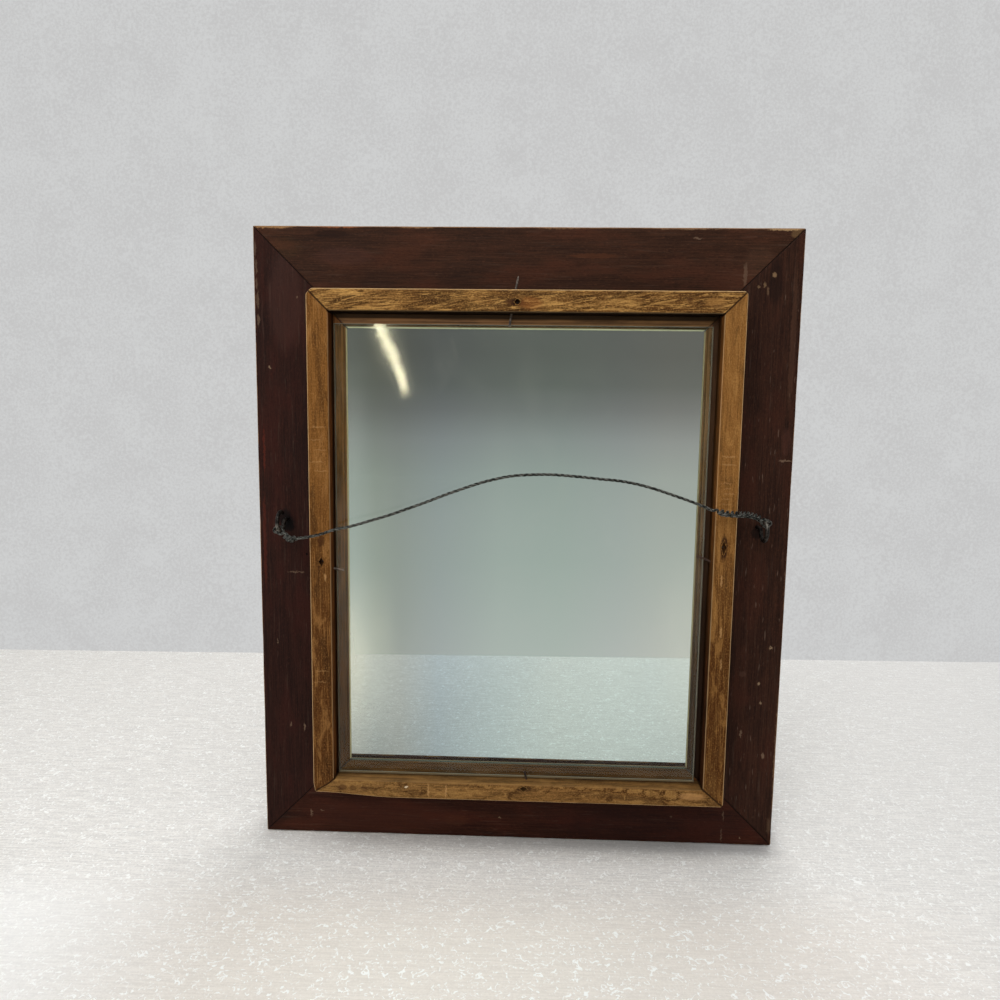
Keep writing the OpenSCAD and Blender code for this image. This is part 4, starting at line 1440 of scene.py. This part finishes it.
def floor_finish():
    """A pale floor with fine flecks, with painted warm light and a painted lighter patch before the
    frame, a painted shadow under it, and painted shade behind it and towards the right.
    """
    f = Finish("pale_floor")
    place = f.place_mm()
    x, y, _ = f.parts(f.place())
    grain, crumbs = f.noise(place, 0.9, 4, 0.65), f.noise(place, 0.22, 4, 0.7, 0.5)
    ribs = f.noise(f.stretched(place, (0.05, 0.9, 1)), 1, 3, 0.6)
    flecks = f.noise(place, 0.33, 3, 0.6, 1.5)
    aside, before = f.distance(x), f.rise(y, 0.0, 0.06)
    # Painted shadow under the frame, stronger towards the right
    under = f.rise(y, -0.09, -0.06) * f.rise(aside, 0.165, 0.14)
    under = under * f.rise(x, 0.12, -0.12, 0.2, 1) * 0.65
    # Painted warm light and a painted lighter patch before the frame, then crumbs and flecks, then
    # the painted shadow under the frame
    base = f.coats(
        f.mix(f.rise(grain * 0.5 + ribs * 0.5, 0.38, 0.62), (217, 214, 210), (243, 240, 235)),
        (aside, 0.3, 0.1, before * 0.55, (236, 225, 213)),
        (x, 0.13, 0.25, before * 0.5, (252, 252, 251)),
        (crumbs, 0.62, 0.72, 0.5, (246, 244, 240)), (flecks, 0.57, 0.63, 1, (255, 255, 252)),
        (y, -0.010, -0.024, under, (118, 118, 120)),
    )
    # Painted shade on the floor seen through the pane behind the frame, and painted shade towards
    # the right
    shaded = f.mix(1.0, base, shade_across(f, x, y, FLOOR_SHADES), "MULTIPLY")
    base = f.coats(base, (y, -0.02, -0.08, 1, shaded), (x, 0.1, -0.5, 0.4, (206, 206, 206)))
    return f.skin(base, 0.75, 0.1, (grain + crumbs * 0.5, 0.0006, 0.3))


def wall_finish():
    """A pale wall that only the camera's side sees, with a soft painted shade behind the frame."""
    f = Finish("pale_wall")
    place = f.place_mm()
    x, y, z = f.parts(f.place())
    mottle = f.noise(place, 0.02, 4, 0.6) * 0.3 + f.noise(place, 0.4, 3, 0.7) * 0.7
    bare = f.mix(f.rise(mottle, 0.38, 0.62), (197, 197, 197), (207, 208, 208))
    # The painted shade behind the frame: darker higher up, and set across by where the pane is seen
    behind = f.ramp((z - BEHIND_LOW) / (BEHIND_HIGH - BEHIND_LOW), BEHIND_SHADE_TONES)
    behind = f.mix(1.0, behind, shade_across(f, x, y, WALL_SHADES), "MULTIPLY")
    near = f.rise(f.distance(x), 0.255, 0.19) * f.rise(z, 0.10, 0.035)
    lit = f.node("Emission", {"Color": f.mix(near, bare, behind), "Strength": 1.0})
    rays = ("Is Camera Ray", "Is Glossy Ray", "Is Transmission Ray")
    camera, glossy, through = f.outputs("LightPath", rays)
    seen = (camera + glossy + through) * f.facing()
    return f.close(f.blend(seen, f.node("BsdfTransparent"), lit))


STAGE_REACH, STAGE_TALL = 2.5, 2.2


def make_stage():
    left = (STAGE_REACH, WALL_Y + WALL_TURN * STAGE_REACH)
    right = (-STAGE_REACH, WALL_Y - WALL_TURN * STAGE_REACH)
    foot = [(*left, FLOOR_Z), (*right, FLOOR_Z)]
    edge = [(x, STAGE_REACH, FLOOR_Z) for x in (STAGE_REACH, -STAGE_REACH)]
    stage_plane("floor", foot[::-1] + edge, floor_finish())
    stage_plane("wall", foot + [(*right, STAGE_TALL), (*left, STAGE_TALL)], wall_finish())


def area_lamp(name, place, size, power, tint=(1, 1, 1)):
    """A lamp that looks at the middle of the frame, with its long side level."""
    data = bpy.data.lights.new(name, "AREA")
    data.shape, data.size, data.size_y = "RECTANGLE", *size
    data.energy, data.color = power, tint
    lamp = link(name, data)
    lamp.visible_camera = False
    lamp.location = place
    lamp.rotation_euler = (placed((0, 0, 0)) - Vector(place)).to_track_quat("-Z", "Y").to_euler()
    return lamp


# The lamp whose mirror image is the streak in the pane: its two ends, width, power and tint
STREAK_TOP, STREAK_BOTTOM = Vector((0.326, 1.221, 0.130)), Vector((0.261, 1.221, -0.018))
STREAK_WIDE, STREAK_WATTS, STREAK_TINT = 0.019, 0.6, (1, 0.93, 0.62)


def streak_lamp():
    """A narrow lamp that looks straight at the pane, with its long side from end to end."""
    long, middle = STREAK_TOP - STREAK_BOTTOM, (STREAK_TOP + STREAK_BOTTOM) / 2
    lamp = area_lamp("streak", middle, (long.length, STREAK_WIDE), STREAK_WATTS, STREAK_TINT)
    back, along = Vector((0, 1, 0)), long.normalized()
    lamp.rotation_euler = Matrix((along, back.cross(along), back)).transposed().to_euler()


def make_light():
    world = bpy.data.worlds.new("studio")
    bpy.context.scene.world = world
    world.use_nodes = True
    f = Wiring(world.node_tree)
    rays = ("Is Camera Ray", "Is Transmission Ray", "Is Glossy Ray")
    camera, through, glossy = f.outputs("LightPath", rays)
    strength = 0.27 + (camera + through) * 0.5 - glossy * 0.19
    sky = f.node("Background", {"Color": (0.98, 1.0, 1.0, 1), "Strength": strength})
    f.node("OutputWorld", {"Surface": sky})
    area_lamp("key", (0.38, 1.45, 0.66), (1.1, 0.6), 15.5)
    area_lamp("ceiling", (0.1, 0.5, 1.2), (1.6, 1.2), 10.5)
    area_lamp("front_fill", (-0.4, -1.3, 0.6), (1.4, 1.2), 13)
    streak_lamp()


make_stage()
make_light()
bpy.context.scene.view_settings.view_transform = "Standard"
